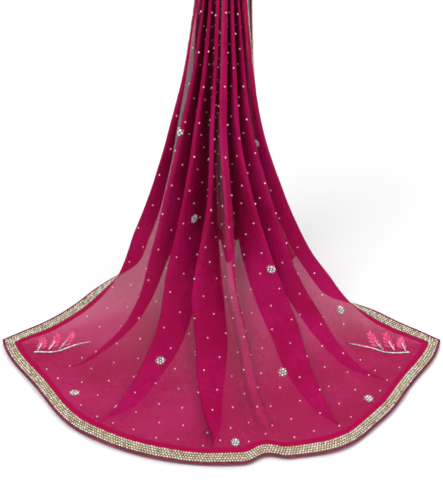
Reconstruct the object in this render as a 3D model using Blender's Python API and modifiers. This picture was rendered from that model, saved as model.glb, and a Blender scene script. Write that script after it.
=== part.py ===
"""A sheer dupatta stole that hangs over a hold and spreads its front end on the floor.

The stole is one rectangle of cloth. It is gathered into seven long pleats, turned over a
hold at the origin, and let fall: the short back end hangs free, and the long front end
opens like a trumpet until its hem lies on the floor. Metres, +Z up, -Y to the front.

Every row of the cloth is a walk of the full cut width. The walk goes along a ring, turns in
and out at each pleat, and comes back to the ring, so no cloth is won or lost in a pleat.
"""

import math
from typing import NamedTuple

import bpy
import numpy as np

COLLECTION_NAME = "dupatta_stole"

CUT_WIDTH = 0.950
WALL = 0.0012
SEAM_GAP = 0.0003

HOLD_HEIGHT = 1.000
HOLD_RADIUS = 0.012
FLOOR = -HOLD_HEIGHT
AXIS_HEIGHT = HOLD_HEIGHT - HOLD_RADIUS

PIPING_EDGE = 0.0002
PIPING_WIDTH = 0.0028
BORDER_INSET = 0.0034
BORDER_WIDTH = 0.0146
TRIM_WALL = 0.0010
TRIM_LIFT = WALL / 2 + 0.0004 + TRIM_WALL / 2

JOIN_WIDTH = 0.005
LEAST_BACK = 0.008
LEAST_BEND = 0.003
BEND_SHARE = 0.84
BEND_OF_ADVANCE = 0.25
BEND_BALANCE = 1 / 2 - 1 / math.pi
JOIN_STEEPEST = math.radians(86.0)
JOIN_EASING = 0.7
FULLEST = 0.965
JOIN_ROUNDS = 3
FLAT_HEM = 0.020
FOLDS_GROW = 0.055

TUCK_STRIP = 0.0215
TUCK_BEND = 0.0085
TUCK_DEPTH = TUCK_STRIP + TUCK_BEND
TUCK_TURN = math.radians(165.0)


class Station(NamedTuple):
    """One level of the fall, in metres and degrees.

    height      of the pleats' crests above the floor
    reach       of the middle crest out from the hold
    half_width  from the middle to the outermost crest
    spread      half the angle that the ring of crests spans
    shift       of the middle to the right
    stir        how far the minor pleats have woken, 0 to 1
    even        how near the pleats are to their gathered sizes, 0 to 1
    lean        how flat the pleats lie, 0 standing to 1 lying
    bend        radius of a pleat's edge
    packed      how far the gathered pleats are made alike, 0 to 1
    """

    height: float
    reach: float
    half_width: float
    spread: float
    shift: float
    stir: float
    even: float
    lean: float
    bend: float
    packed: float


FRONT_STATIONS = (
    Station(0.0042, 0.355, 0.3440, 77.0, 0.000, 0.06, 0.00, 0.97, 0.0080, 0.0),
    Station(0.0150, 0.326, 0.3150, 77.0, 0.000, 0.08, 0.02, 0.97, 0.0070, 0.0),
    Station(0.0290, 0.286, 0.2760, 77.0, 0.000, 0.12, 0.05, 0.96, 0.0065, 0.0),
    Station(0.0470, 0.249, 0.2400, 77.0, -0.001, 0.18, 0.12, 0.94, 0.0060, 0.0),
    Station(0.0830, 0.204, 0.1940, 77.0, -0.003, 0.28, 0.25, 0.86, 0.0055, 0.0),
    Station(0.1350, 0.168, 0.1520, 76.0, -0.005, 0.42, 0.45, 0.60, 0.0050, 0.0),
    Station(0.2150, 0.138, 0.1140, 72.0, -0.006, 0.72, 0.65, 0.22, 0.0042, 0.0),
    Station(0.2900, 0.120, 0.0890, 62.0, -0.007, 0.94, 0.80, 0.04, 0.0036, 0.0),
    Station(0.3800, 0.105, 0.0640, 42.0, -0.008, 1.00, 0.95, 0.00, 0.0032, 0.0),
    Station(0.5100, 0.092, 0.0390, 19.0, -0.003, 1.00, 1.00, 0.00, 0.0026, 0.0),
    Station(0.6400, 0.084, 0.0252, 8.5, 0.000, 1.00, 1.00, 0.00, 0.0021, 0.4),
    Station(0.8000, 0.079, 0.0238, 7.0, 0.000, 1.00, 1.00, 0.00, 0.0020, 1.0),
    Station(AXIS_HEIGHT, 0.079, 0.0238, 7.0, 0.000, 1.00, 1.00, 0.00, 0.0020, 1.0),
)

BACK_STATIONS = (
    Station(AXIS_HEIGHT, 0.079, 0.0238, 7.0, 0.000, 1.00, 1.00, 0.00, 0.0020, 1.0),
    Station(0.8000, 0.080, 0.0275, 7.5, 0.002, 1.00, 1.00, 0.00, 0.0021, 1.0),
    Station(0.6200, 0.084, 0.0310, 10.0, 0.004, 1.00, 1.00, 0.00, 0.0026, 1.0),
    Station(0.4200, 0.096, 0.0385, 16.0, 0.0035, 1.00, 1.00, 0.00, 0.0034, 1.0),
    Station(0.2400, 0.112, 0.0610, 26.0, 0.001, 1.00, 1.00, 0.00, 0.0046, 1.0),
    Station(0.1100, 0.122, 0.0900, 34.0, 0.009, 1.00, 1.00, 0.00, 0.0058, 1.0),
    Station(0.0500, 0.126, 0.1080, 37.0, 0.014, 1.00, 1.00, 0.00, 0.0066, 1.0),
)


class Pleat(NamedTuple):
    """One pleat, from one side edge towards the join.

    at_hem    cloth from the last pleat's edge to this one's, at the hem
    gathered  the same where the cloth is fully gathered
    main      1 for a pleat that runs to the hem, 0 for one that dies out above it
    """

    at_hem: float
    gathered: float
    main: float


LEFT_PLEATS = (
    Pleat(0.125, 0.145, 0.0),
    Pleat(0.150, 0.145, 1.0),
    Pleat(0.190, 0.160, 1.0),
    Pleat(0.090, 0.095, 0.0),
)
RIGHT_PLEATS = (
    Pleat(0.150, 0.135, 0.35),
    Pleat(0.135, 0.135, 1.0),
    Pleat(0.105, 0.130, 0.0),
)
PLEATS = LEFT_PLEATS + RIGHT_PLEATS


class Tuck(NamedTuple):
    """Where a side edge turns under, as distances from the front hem: its start and end."""

    start: float
    end: float


LEFT_TUCK = Tuck(0.155, 0.300)
RIGHT_TUCK = Tuck(0.095, 0.235)


class HemWave(NamedTuple):
    """A soft lobe of the front hem: its middle across the cloth, half length and size."""

    across: float
    half_length: float
    size: float


HEM_WAVES = (
    HemWave(0.130, 0.125, -0.014),
    HemWave(0.542, 0.035, -0.012),
    HemWave(0.655, 0.090, 0.012),
    HemWave(0.830, 0.105, -0.011),
)
HEM_WAVE_REACH = 0.16

FRONT_ROWS = (
    0.0, BORDER_INSET, BORDER_INSET + BORDER_WIDTH, 0.040, 0.070, 0.100, 0.130, 0.155, 0.180,
    0.205, 0.230, 0.255, 0.280, 0.310, 0.360, 0.415, 0.480, 0.515, 0.550, 0.590, 0.630, 0.675,
    0.720, 0.930,
)
CROWN_TURN_ROWS = 9
BACK_ROW_COUNT = 10


FLOWER_RADIUS = 0.0072
MOTIF_LIFT = WALL / 2 + 0.0009 + TRIM_WALL / 2
LEAF_STEPS = 6

# Where each raised flower sits: distance from the front hem, distance from the left edge.
FLOWERS = (
    (0.041, 0.186),
    (0.148, 0.304),
    (0.132, 0.622),
)


class Leaf(NamedTuple):
    """One leaf of a corner spray: its two ends from the hem and from the side edge."""

    name: str
    finish: str
    from_hem: float
    from_side: float
    to_hem: float
    to_side: float
    half_width: float
    bend: float


LEAVES = (
    Leaf("plume_1", "plume", 0.046, 0.056, 0.058, 0.033, 0.0056, 0.0030),
    Leaf("plume_2", "plume", 0.062, 0.061, 0.082, 0.036, 0.0056, 0.0030),
    Leaf("plume_3", "plume", 0.078, 0.067, 0.104, 0.049, 0.0050, 0.0030),
    Leaf("stem", "silver", 0.038, 0.060, 0.118, 0.086, 0.0013, -0.0020),
)


def read_smoothly(xs: np.ndarray, ys: np.ndarray, x: float) -> float:
    """Read a table at x along a curve that never overshoots its own rows."""
    gaps = np.diff(xs)
    slopes = np.diff(ys) / gaps
    tangents = np.empty(len(xs))
    tangents[0] = slopes[0]
    tangents[-1] = slopes[-1]
    for i in range(1, len(xs) - 1):
        before = slopes[i - 1]
        after = slopes[i]
        if before * after <= 0.0:
            tangents[i] = 0.0
            continue
        weight_before = 2 * gaps[i] + gaps[i - 1]
        weight_after = gaps[i] + 2 * gaps[i - 1]
        total = weight_before + weight_after
        tangents[i] = total / (weight_before / before + weight_after / after)
    k = int(np.clip(np.searchsorted(xs, x, side="right") - 1, 0, len(xs) - 2))
    t = float(np.clip((x - xs[k]) / gaps[k], 0.0, 1.0))
    from_value = (2 * t ** 3 - 3 * t ** 2 + 1) * ys[k] + (3 * t ** 2 - 2 * t ** 3) * ys[k + 1]
    from_slope = (t ** 3 - 2 * t ** 2 + t) * tangents[k] + (t ** 3 - t ** 2) * tangents[k + 1]
    return float(from_value + gaps[k] * from_slope)


class Fall:
    """One fall of the stole, read at any distance along its middle crest."""

    def __init__(self, stations: tuple, toward: float) -> None:
        """Lay the stations out along the fall; toward is -1 for the front, +1 for the back."""
        self.toward = toward
        self.columns = np.array(stations)
        steps = np.hypot(np.diff(self.columns[:, 0]), np.diff(self.columns[:, 1]))
        self.along = np.concatenate(([0.0], np.cumsum(steps)))
        self.length = float(self.along[-1])

    def station(self, along: float) -> Station:
        """Return the level at a distance along the fall."""
        values = [read_smoothly(self.along, column, along) for column in self.columns.T]
        return Station(*values)


FRONT = Fall(FRONT_STATIONS, -1.0)
BACK = Fall(BACK_STATIONS, 1.0)
CROWN_REACH = FRONT_STATIONS[-1].reach
CROWN_LENGTH = math.pi * CROWN_REACH
CROWN_START = FRONT.length
BACK_START = FRONT.length + CROWN_LENGTH
BACK_HEM = BACK_START + BACK.length


class Row(NamedTuple):
    """Where one row of the cloth lies: its ring, its directions and its pleats."""

    station: Station
    radius: float
    centre: tuple
    outward: tuple
    tilt_out: float
    tilt_up: float


def row_at(along: float) -> Row:
    """Return the row at a distance from the front hem, over the hold, to the back hem."""
    if along <= CROWN_START:
        return falling_row(FRONT, along, 1.0)
    if along >= BACK_START:
        return falling_row(BACK, along - BACK_START, -1.0)
    station = FRONT_STATIONS[-1]
    radius = station.half_width / math.sin(math.radians(station.spread))
    turn = (along - CROWN_START) / CROWN_REACH
    outward = (0.0, -math.cos(turn), math.sin(turn))
    offset = station.reach - radius
    centre = (station.shift, outward[1] * offset, -HOLD_RADIUS + outward[2] * offset)
    return Row(station, radius, centre, outward, 1.0, 0.0)


def falling_row(fall: Fall, along: float, upward: float) -> Row:
    """Return a row of a fall; upward is 1 where distance along it grows towards the hold."""
    station = fall.station(along)
    step = 0.002
    low = fall.station(max(along - step, 0.0))
    high = fall.station(min(along + step, fall.length))
    rise = (high.height - low.height) * upward
    inward = (low.reach - high.reach) * upward
    length = math.hypot(rise, inward)
    radius = station.half_width / math.sin(math.radians(station.spread))
    centre = (station.shift, fall.toward * (station.reach - radius), FLOOR + station.height)
    outward = (0.0, fall.toward, 0.0)
    return Row(station, radius, centre, outward, rise / length, inward / length)


class Stretch(NamedTuple):
    """A stretch of a walk, along which the heading changes evenly."""

    length: float
    first_heading: float
    last_heading: float


def follow(row: Row, stretches: list, depth: float, azimuth: float, fineness: int) -> tuple:
    """Walk the stretches; return the distance, depth and azimuth at each step's end."""
    lengths = []
    headings = []
    for stretch in stretches:
        middles = (np.arange(fineness) + 0.5) / fineness
        change = stretch.last_heading - stretch.first_heading
        headings.append(stretch.first_heading + change * middles)
        lengths.append(np.full(fineness, stretch.length / fineness))
    lengths = np.concatenate(lengths)
    headings = np.concatenate(headings)
    rises = np.sin(headings) * lengths
    depths = depth + np.concatenate(([0.0], np.cumsum(rises)))
    ring = row.radius + row.tilt_out * (depths[:-1] + depths[1:]) / 2
    turns = np.cos(headings) * lengths / ring
    azimuths = azimuth + np.concatenate(([0.0], np.cumsum(turns)))
    distances = np.concatenate(([0.0], np.cumsum(lengths)))
    return distances, depths, azimuths


class Sizes(NamedTuple):
    """The cloth in each stretch of a pleat, and the headings it is given.

    opening   rest of the last pleat's crest, 0 at a side edge
    face      the wall that leads in from the ring
    valley    the inner bend
    back      the wall that leads out again
    crest     the half of the outer bend that belongs to this pleat
    first     heading where the pleat begins, None at a side edge
    last      heading where it ends, None where another pleat follows
    """

    opening: float
    face: float
    valley: float
    back: float
    crest: float
    first: float
    last: float


def pleat_stretches(sizes: Sizes, headings: tuple) -> list:
    """Return the stretches of one pleat: in along its face, round, and back out."""
    inward, outward = headings
    first = inward if sizes.first is None else sizes.first
    last = (outward + inward) / 2 if sizes.last is None else sizes.last
    return [
        Stretch(sizes.opening, first, inward),
        Stretch(sizes.face, inward, inward),
        Stretch(sizes.valley, inward, outward),
        Stretch(sizes.back, outward, outward),
        Stretch(sizes.crest, outward, last),
    ]


def triangle_headings(face: float, back: float, chord: float) -> tuple:
    """Return the headings of two walls that close a triangle on their chord."""
    chord = max(chord, abs(face - back) * 1.002, 1e-4)
    face_cosine = (face ** 2 + chord ** 2 - back ** 2) / (2 * face * chord)
    inward = -math.acos(float(np.clip(face_cosine, -1.0, 1.0)))
    back_cosine = (chord - face * math.cos(inward)) / back
    outward = math.acos(float(np.clip(back_cosine, -1.0, 1.0)))
    return inward, outward


def solve_pleat(row: Row, sizes: Sizes, guess: tuple, advance: float, azimuth: float) -> list:
    """Find the headings that bring a pleat back to the ring after its advance."""
    steepest = np.array([-1.80, 3.13])
    flattest = np.array([-0.001, 0.001])

    def miss(trial: np.ndarray) -> np.ndarray:
        """Return how far a trial ends from the ring and from its advance."""
        _, depths, azimuths = follow(row, pleat_stretches(sizes, tuple(trial)), 0.0, azimuth, 10)
        return np.array([depths[-1], (azimuths[-1] - azimuth) * row.radius - advance])

    headings = np.array(guess)
    nudge = 1e-5
    for _ in range(16):
        error = miss(headings)
        if np.max(np.abs(error)) < 1e-7:
            break
        slope = np.column_stack([
            (miss(headings + np.array([nudge, 0.0])) - error) / nudge,
            (miss(headings + np.array([0.0, nudge])) - error) / nudge,
        ])
        step, *_ = np.linalg.lstsq(slope, error, rcond=1e-6)
        headings = headings - np.clip(step, -0.2, 0.2)
        headings[0] = np.clip(headings[0], steepest[0], flattest[0])
        headings[1] = np.clip(headings[1], flattest[1], steepest[1])
    return pleat_stretches(sizes, tuple(headings))


def pleat_cloth(pleat: Pleat, station: Station) -> float:
    """Return the cloth in a pleat at a level."""
    alike = (CUT_WIDTH - JOIN_WIDTH) / len(PLEATS)
    gathered = pleat.gathered + (alike - pleat.gathered) * station.packed
    return pleat.at_hem + (gathered - pleat.at_hem) * station.even


def pleat_wake(pleat: Pleat, station: Station) -> float:
    """Return how far a pleat has woken at a level, 0 to 1."""
    return pleat.main + (1.0 - pleat.main) * station.stir


def size_pleat(row: Row, cloth: float, advance: float, lean: float, opening: float,
               heading: float, at_join: bool) -> tuple:
    """Share a pleat's cloth out among its walls and bends; return the sizes and a guess."""
    station = row.station
    back = max((cloth - lean * advance) / 2, LEAST_BACK)
    depth = row.tilt_out * back * math.sqrt(1.0 - lean ** 2)
    inner_share = max(1.0 - depth / row.radius, 0.3)
    guess = triangle_headings(cloth - back, back, advance * (1.0 + inner_share) / 2)
    turn = guess[1] - guess[0]
    crest_radius = min(station.bend, BEND_OF_ADVANCE * advance)
    valley_radius = min(station.bend, BEND_OF_ADVANCE * advance * inner_share)
    crest = float(np.clip(crest_radius * turn, LEAST_BEND, back * BEND_SHARE))
    valley = float(np.clip(valley_radius * turn, LEAST_BEND, back * BEND_SHARE))
    back += (crest / 2 - opening) * BEND_BALANCE
    sizes = Sizes(
        opening=opening,
        face=cloth - back - opening - valley / 2,
        valley=valley,
        back=back - valley / 2 - crest / 2,
        crest=crest / 2,
        first=heading,
        last=0.0 if at_join else None,
    )
    return sizes, guess


def tuck_share(tuck: Tuck, along: float) -> float:
    """Return how far a side edge is turned under, 0 to 1, rising smoothly."""
    share = min(max((along - tuck.start) / (tuck.end - tuck.start), 0.0), 1.0)
    return 0.5 - 0.5 * math.cos(math.pi * share)


def turn_edge(row: Row, steps: tuple, heading: float, tucked: float) -> tuple:
    """Turn the start of an edge pleat's face under; return its distances, depths, azimuths."""
    distances, depths, azimuths = steps
    kept_from = (1.0 - tucked) * TUCK_DEPTH
    turn = TUCK_TURN * tucked
    parts = [
        Stretch(TUCK_STRIP, heading + turn, heading + turn),
        Stretch(TUCK_BEND, heading + turn, heading),
    ]
    strip = follow(row, parts, 0.0, 0.0, 8)
    fold_depth = float(np.interp(kept_from, distances, depths))
    fold_azimuth = float(np.interp(kept_from, distances, azimuths))
    kept = distances > kept_from + 1e-6
    return (
        np.concatenate((strip[0], distances[kept] + tucked * TUCK_DEPTH)),
        np.concatenate((strip[1] - strip[1][-1] + fold_depth, depths[kept])),
        np.concatenate((strip[2] - strip[2][-1] + fold_azimuth, azimuths[kept])),
    )


def walk_half(row: Row, pleats: tuple, use: float, tucked: float) -> tuple:
    """Walk one half of a row from its side edge, which may be tucked, to the join.

    Returns the distances, depths and azimuths (from the side edge, growing inwards),
    and the distances at which the columns of the mesh stand.
    """
    station = row.station
    distances = []
    depths = []
    azimuths = []
    columns = [np.zeros(1)]
    opening = 0.0
    heading = None
    start = 0.0
    start_azimuth = 0.0
    for index, pleat in enumerate(pleats):
        at_edge = index == 0
        at_join = index == len(pleats) - 1
        cloth = pleat_cloth(pleat, station)
        if at_edge:
            cloth -= tucked * TUCK_DEPTH
        advance = cloth * (1.0 - pleat_wake(pleat, station) * use)
        if at_edge:
            advance -= min(station.bend, BEND_OF_ADVANCE * advance) * station.even
        else:
            advance -= opening * (1.0 - math.cos(heading))
        lean = station.lean
        while True:
            sizes, guess = size_pleat(row, cloth, advance, lean, opening, heading, at_join)
            stretches = solve_pleat(row, sizes, guess, advance, start_azimuth)
            steepness = stretches[3].first_heading
            if not at_join or steepness <= JOIN_STEEPEST or lean == 0.0:
                break
            lean = lean * JOIN_EASING if lean > 0.02 else 0.0
        steps = follow(row, stretches, 0.0, start_azimuth, 12)
        if at_edge:
            steps = turn_edge(row, steps, stretches[1].first_heading, tucked)
            columns.append(edge_pleat_columns(sizes, tucked))
        else:
            steps = tuple(values[1:] for values in steps)
            columns.append(start + pleat_columns(sizes))
        distances.append(start + steps[0])
        depths.append(steps[1])
        azimuths.append(steps[2])
        start = float(distances[-1][-1])
        start_azimuth = float(azimuths[-1][-1])
        opening = sizes.crest
        heading = stretches[-1].last_heading
    return tuple(np.concatenate(parts) for parts in (distances, depths, azimuths, columns))


def pleat_columns(sizes: Sizes) -> np.ndarray:
    """Return where a pleat's mesh columns stand, from the pleat's start."""
    ends = np.cumsum((sizes.opening, sizes.face, sizes.valley, sizes.back, sizes.crest))
    on_face = ends[0] + sizes.face * np.array([0.0, 0.33, 0.67, 1.0])
    on_valley = ends[1] + sizes.valley * np.array([0.34, 0.66, 1.0])
    on_crest = ends[3] + sizes.crest * np.array([0.0, 0.62])
    return np.concatenate((on_face, on_valley, on_crest))


def edge_pleat_columns(sizes: Sizes, tucked: float) -> np.ndarray:
    """Return where an edge pleat's mesh columns stand, from the side edge."""
    border = BORDER_INSET + BORDER_WIDTH
    on_tuck = np.array([BORDER_INSET, border, TUCK_STRIP, TUCK_STRIP + TUCK_BEND / 2, TUCK_DEPTH])
    beyond = pleat_columns(sizes)[3:] + tucked * TUCK_DEPTH
    return np.concatenate((on_tuck, beyond))


class Section(NamedTuple):
    """A solved row: where the cloth is for each distance across it."""

    row: Row
    across: np.ndarray
    depth: np.ndarray
    azimuth: np.ndarray
    columns: np.ndarray


def solve_section(along: float) -> Section:
    """Walk a whole row: the left half, the join and the right half."""
    row = row_at(along)
    station = row.station
    arc = 2 * math.radians(station.spread) * row.radius
    stirred = sum(pleat_cloth(pleat, station) * pleat_wake(pleat, station) for pleat in PLEATS)
    taken = 0.5 - 0.5 * math.cos(math.pi * min(max((along - FLAT_HEM) / FOLDS_GROW, 0.0), 1.0))
    walked_arc = CUT_WIDTH - (CUT_WIDTH - arc) * taken
    left_tucked = tuck_share(LEFT_TUCK, along)
    right_tucked = tuck_share(RIGHT_TUCK, along)
    turned_under = (left_tucked + right_tucked) * TUCK_DEPTH
    use = (CUT_WIDTH - turned_under - walked_arc) / stirred
    for _ in range(JOIN_ROUNDS):
        left = walk_half(row, LEFT_PLEATS, use, left_tucked)
        right = walk_half(row, RIGHT_PLEATS, use, right_tucked)
        gap = walked_arc - (left[2][-1] + right[2][-1]) * row.radius
        use = float(np.clip(use - (gap - JOIN_WIDTH) / stirred, 0.0, FULLEST))
    half_spread = walked_arc / row.radius / 2
    fit = arc / walked_arc
    across = np.concatenate((left[0], CUT_WIDTH - right[0][::-1]))
    depth = np.concatenate((left[1], right[1][::-1]))
    azimuth = fit * np.concatenate((left[2] - half_spread, half_spread - right[2][::-1]))
    columns = np.concatenate((left[3], CUT_WIDTH - right[3][::-1]))
    return Section(row, across, depth, azimuth, columns)


def place(section: Section, across: np.ndarray, along: float) -> np.ndarray:
    """Return the points of the cloth's middle at distances across a row."""
    row = section.row
    depth = np.interp(across, section.across, section.depth)
    azimuth = np.interp(across, section.across, section.azimuth)
    wave = np.zeros_like(depth)
    if along < HEM_WAVE_REACH:
        fade = 0.5 + 0.5 * math.cos(math.pi * along / HEM_WAVE_REACH)
        for lobe in HEM_WAVES:
            from_middle = np.clip((across - lobe.across) / lobe.half_length, -1.0, 1.0)
            wave += fade * lobe.size * (0.5 + 0.5 * np.cos(math.pi * from_middle))
    ring = row.radius + wave + row.tilt_out * depth
    outward = ring * np.cos(azimuth)
    x = row.centre[0] + ring * np.sin(azimuth)
    y = row.centre[1] + outward * row.outward[1]
    z = row.centre[2] + outward * row.outward[2] + row.tilt_up * depth
    return np.column_stack((x, y, z))


class Patch:
    """A stretch of the cloth as it is built, read at any place on its flat walls."""

    def __init__(self, alongs: list) -> None:
        """Lay the stretch's rows out, one line of mesh columns for each."""
        self.alongs = np.array(alongs)
        self.columns = []
        lines = []
        for along in alongs:
            section = solve_section(along)
            self.columns.append(section.columns)
            lines.append(place(section, section.columns, along))
        self.grid = np.array(lines)

    def point(self, along: float, across: float) -> np.ndarray:
        """Return the cloth's middle at a distance along and across it."""
        last = len(self.alongs) - 2
        row = int(np.clip(np.searchsorted(self.alongs, along, side="right") - 1, 0, last))
        share = (along - self.alongs[row]) / (self.alongs[row + 1] - self.alongs[row])
        columns = self.columns[row] * (1.0 - share) + self.columns[row + 1] * share
        index = float(np.interp(across, columns, np.arange(len(columns))))
        column = min(int(index), len(columns) - 2)
        over = index - column
        near = self.grid[row, column]
        far = self.grid[row + 1, column + 1]
        if share >= over:
            turn = self.grid[row + 1, column]
            return near + share * (turn - near) + over * (far - turn)
        turn = self.grid[row, column + 1]
        return near + over * (turn - near) + share * (far - turn)

    def columns_at(self, along: float) -> np.ndarray:
        """Return the distances across the cloth of the mesh columns at a distance along it."""
        last = len(self.alongs) - 2
        row = int(np.clip(np.searchsorted(self.alongs, along, side="right") - 1, 0, last))
        share = (along - self.alongs[row]) / (self.alongs[row + 1] - self.alongs[row])
        return self.columns[row] * (1.0 - share) + self.columns[row + 1] * share

    def normal(self, along: float, across: float) -> np.ndarray:
        """Return the direction out of the cloth's right side."""
        step = 0.0008
        left = max(across - step, 0.0)
        right = min(across + step, CUT_WIDTH)
        low = max(along - step, float(self.alongs[0]))
        high = min(along + step, float(self.alongs[-1]))
        over = self.point(along, right) - self.point(along, left)
        up = self.point(high, across) - self.point(low, across)
        normal = np.cross(over, up)
        return normal / np.linalg.norm(normal)

    def lifted(self, along: float, across: float, lift: float) -> np.ndarray:
        """Return a point lifted off the cloth's middle."""
        return self.point(along, across) + lift * self.normal(along, across)

    def strip(self, alongs: list, acrosses: list) -> np.ndarray:
        """Return a grid of points; acrosses has a line of distances for each row."""
        return np.array([
            [self.point(along, across) for across in line]
            for along, line in zip(alongs, acrosses)
        ])


def trim_grid(patch: Patch, hem: str) -> np.ndarray:
    """Return the grid that a stretch's piping and border are both made from.

    Its columns are the trims' own edges at either side, with the cloth's columns between,
    and its rows have the trims' own edges where the stretch has a hem.
    """
    edges = np.array((PIPING_EDGE, PIPING_WIDTH, BORDER_INSET, BORDER_INSET + BORDER_WIDTH))
    inner = edges[-1] + 0.0001
    first = float(patch.alongs[0])
    last = float(patch.alongs[-1])
    alongs = patch.alongs
    if hem == "first":
        alongs = np.concatenate((first + edges, alongs[alongs > first + inner]))
    elif hem == "last":
        alongs = np.concatenate((alongs[alongs < last - inner], last - edges[::-1]))
    acrosses = []
    for along in alongs:
        own = patch.columns_at(along)
        between = own[(own > inner) & (own < CUT_WIDTH - inner)]
        acrosses.append(np.concatenate((edges, between, CUT_WIDTH - edges[::-1])))
    return patch.strip(alongs, acrosses)


def make_material(name: str, colour: tuple, roughness: float, metallic: float):
    """Return a Principled material."""
    material = bpy.data.materials.new(name)
    material.use_nodes = True
    shader = material.node_tree.nodes["Principled BSDF"]
    shader.inputs["Base Color"].default_value = (*colour, 1.0)
    shader.inputs["Roughness"].default_value = roughness
    shader.inputs["Metallic"].default_value = metallic
    return material


def make_walled(name: str, points: list, faces: list, thickness: float, material, collection):
    """Make an open surface into a closed sheet with a wall to either side of its points."""
    mesh = bpy.data.meshes.new(name)
    mesh.from_pydata(points, [], faces)
    mesh.materials.append(material)
    mesh.shade_smooth()
    sheet = bpy.data.objects.new(name, mesh)
    collection.objects.link(sheet)
    wall = sheet.modifiers.new("wall", "SOLIDIFY")
    wall.thickness = thickness
    wall.offset = 0.0
    return sheet


def moved_out(points: list, faces: list, lift: float) -> list:
    """Return the points moved out of their surface, so that each face moves by the lift."""
    places = np.array(points)
    corners = places[np.array(faces)]
    normals = np.cross(corners[:, 1] - corners[:, 0], corners[:, 2] - corners[:, 0])
    normals /= np.linalg.norm(normals, axis=1)[:, None]
    sums = np.zeros_like(places)
    for face, normal in zip(faces, normals):
        sums[list(face)] += normal
    ways = sums / np.linalg.norm(sums, axis=1)[:, None]
    least = np.ones(len(places))
    for face, normal in zip(faces, normals):
        for corner in face:
            least[corner] = min(least[corner], float(ways[corner] @ normal))
    return [tuple(point) for point in places + ways * (lift / np.maximum(least, 0.7))[:, None]]


def make_sheet(name: str, grid: np.ndarray, keep, lift: float, thickness: float,
               material, collection):
    """Make a walled sheet from a grid of points, moved out by the lift.

    keep says, for a row and a column, whether the cell there belongs to the sheet. The whole
    grid is moved, so sheets kept from one grid stay beside each other.
    """
    rows, columns = grid.shape[:2]
    points = [tuple(point) for point in grid.reshape(-1, 3)]
    halves = {}
    for row in range(rows - 1):
        for column in range(columns - 1):
            near = row * columns + column
            far = near + columns + 1
            halves[row, column] = ((near, near + 1, far), (near, far, far - 1))
    if lift:
        points = moved_out(points, [face for pair in halves.values() for face in pair], lift)
    kept = [face for cell, pair in halves.items() if keep(*cell) for face in pair]
    used = sorted({corner for face in kept for corner in face})
    place_of = {corner: index for index, corner in enumerate(used)}
    faces = [tuple(place_of[corner] for corner in face) for face in kept]
    corners = [points[corner] for corner in used]
    return make_walled(name, corners, faces, thickness, material, collection)


def every_cell(row: int, column: int) -> bool:
    """Keep every cell of a grid."""
    return True


def front_alongs() -> list:
    """Return where the front fall's rows lie."""
    last = FRONT_ROWS[-1]
    return list(FRONT_ROWS) + [CROWN_START - (CROWN_START - last) / 2, CROWN_START - 0.002]


def crown_alongs() -> list:
    """Return where the rows over the hold lie."""
    first = CROWN_START - 0.002 + SEAM_GAP
    return [first] + list(np.linspace(CROWN_START, BACK_START, CROWN_TURN_ROWS)) + [BACK_START + 0.002]


def back_alongs() -> list:
    """Return where the back fall's rows lie, down to its hem."""
    hem = BACK_HEM - BORDER_INSET
    falling = np.linspace(BACK_START + 0.002 + SEAM_GAP, hem - BORDER_WIDTH, BACK_ROW_COUNT)
    return list(falling) + [hem, BACK_HEM]


def make_trim(name: str, grid: np.ndarray, hem: str, from_edge: int, material,
              collection) -> None:
    """Make a trim along a stretch's edges: one U with the hem's part, or two side strips.

    from_edge is how many cells in from the edges the trim lies.
    """
    hem_row = from_edge
    last_row = grid.shape[0] - 2
    if hem == "last":
        hem_row = last_row - from_edge
    left = from_edge
    right = grid.shape[1] - 2 - from_edge

    def on_left(row: int, column: int) -> bool:
        """Keep the left side strip."""
        return column == left

    def on_right(row: int, column: int) -> bool:
        """Keep the right side strip."""
        return column == right

    def on_edges(row: int, column: int) -> bool:
        """Keep both side strips and the hem's strip."""
        if not left <= column <= right:
            return False
        if row == hem_row:
            return True
        inside = row > hem_row if hem == "first" else row < hem_row
        return inside and column in (left, right)

    if hem == "none":
        make_sheet(name + "_left", grid, on_left, TRIM_LIFT, TRIM_WALL, material, collection)
        make_sheet(name + "_right", grid, on_right, TRIM_LIFT, TRIM_WALL, material, collection)
    else:
        make_sheet(name, grid, on_edges, TRIM_LIFT, TRIM_WALL, material, collection)


def make_flower(name: str, patch: Patch, spot: tuple, material, collection) -> None:
    """Make a raised flower of five petals, its points lifted off the cloth."""
    along, across = spot
    count = 10
    rings = (0.3, 1.0)
    grid = np.empty((2, count + 1, 3))
    for i in range(count + 1):
        turn = 2 * math.pi * i / count
        petal = FLOWER_RADIUS if i % 2 == 0 else FLOWER_RADIUS * 0.62
        for ring, share in enumerate(rings):
            here = along + petal * share * math.sin(turn)
            there = across - petal * share * math.cos(turn)
            grid[ring, i] = patch.lifted(here, there, MOTIF_LIFT)
    make_ring(name, grid, material, collection)


def make_ring(name: str, grid: np.ndarray, material, collection):
    """Make a walled disc from an inner and an outer ring of points."""
    inner = [tuple(point) for point in grid[0][:-1]]
    outer = [tuple(point) for point in grid[1][:-1]]
    count = len(inner)
    faces = [tuple(range(count))]
    for i in range(count):
        after = (i + 1) % count
        faces.append((i, count + i, count + after, after))
    return make_walled(name, inner + outer, faces, TRIM_WALL, material, collection)


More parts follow.
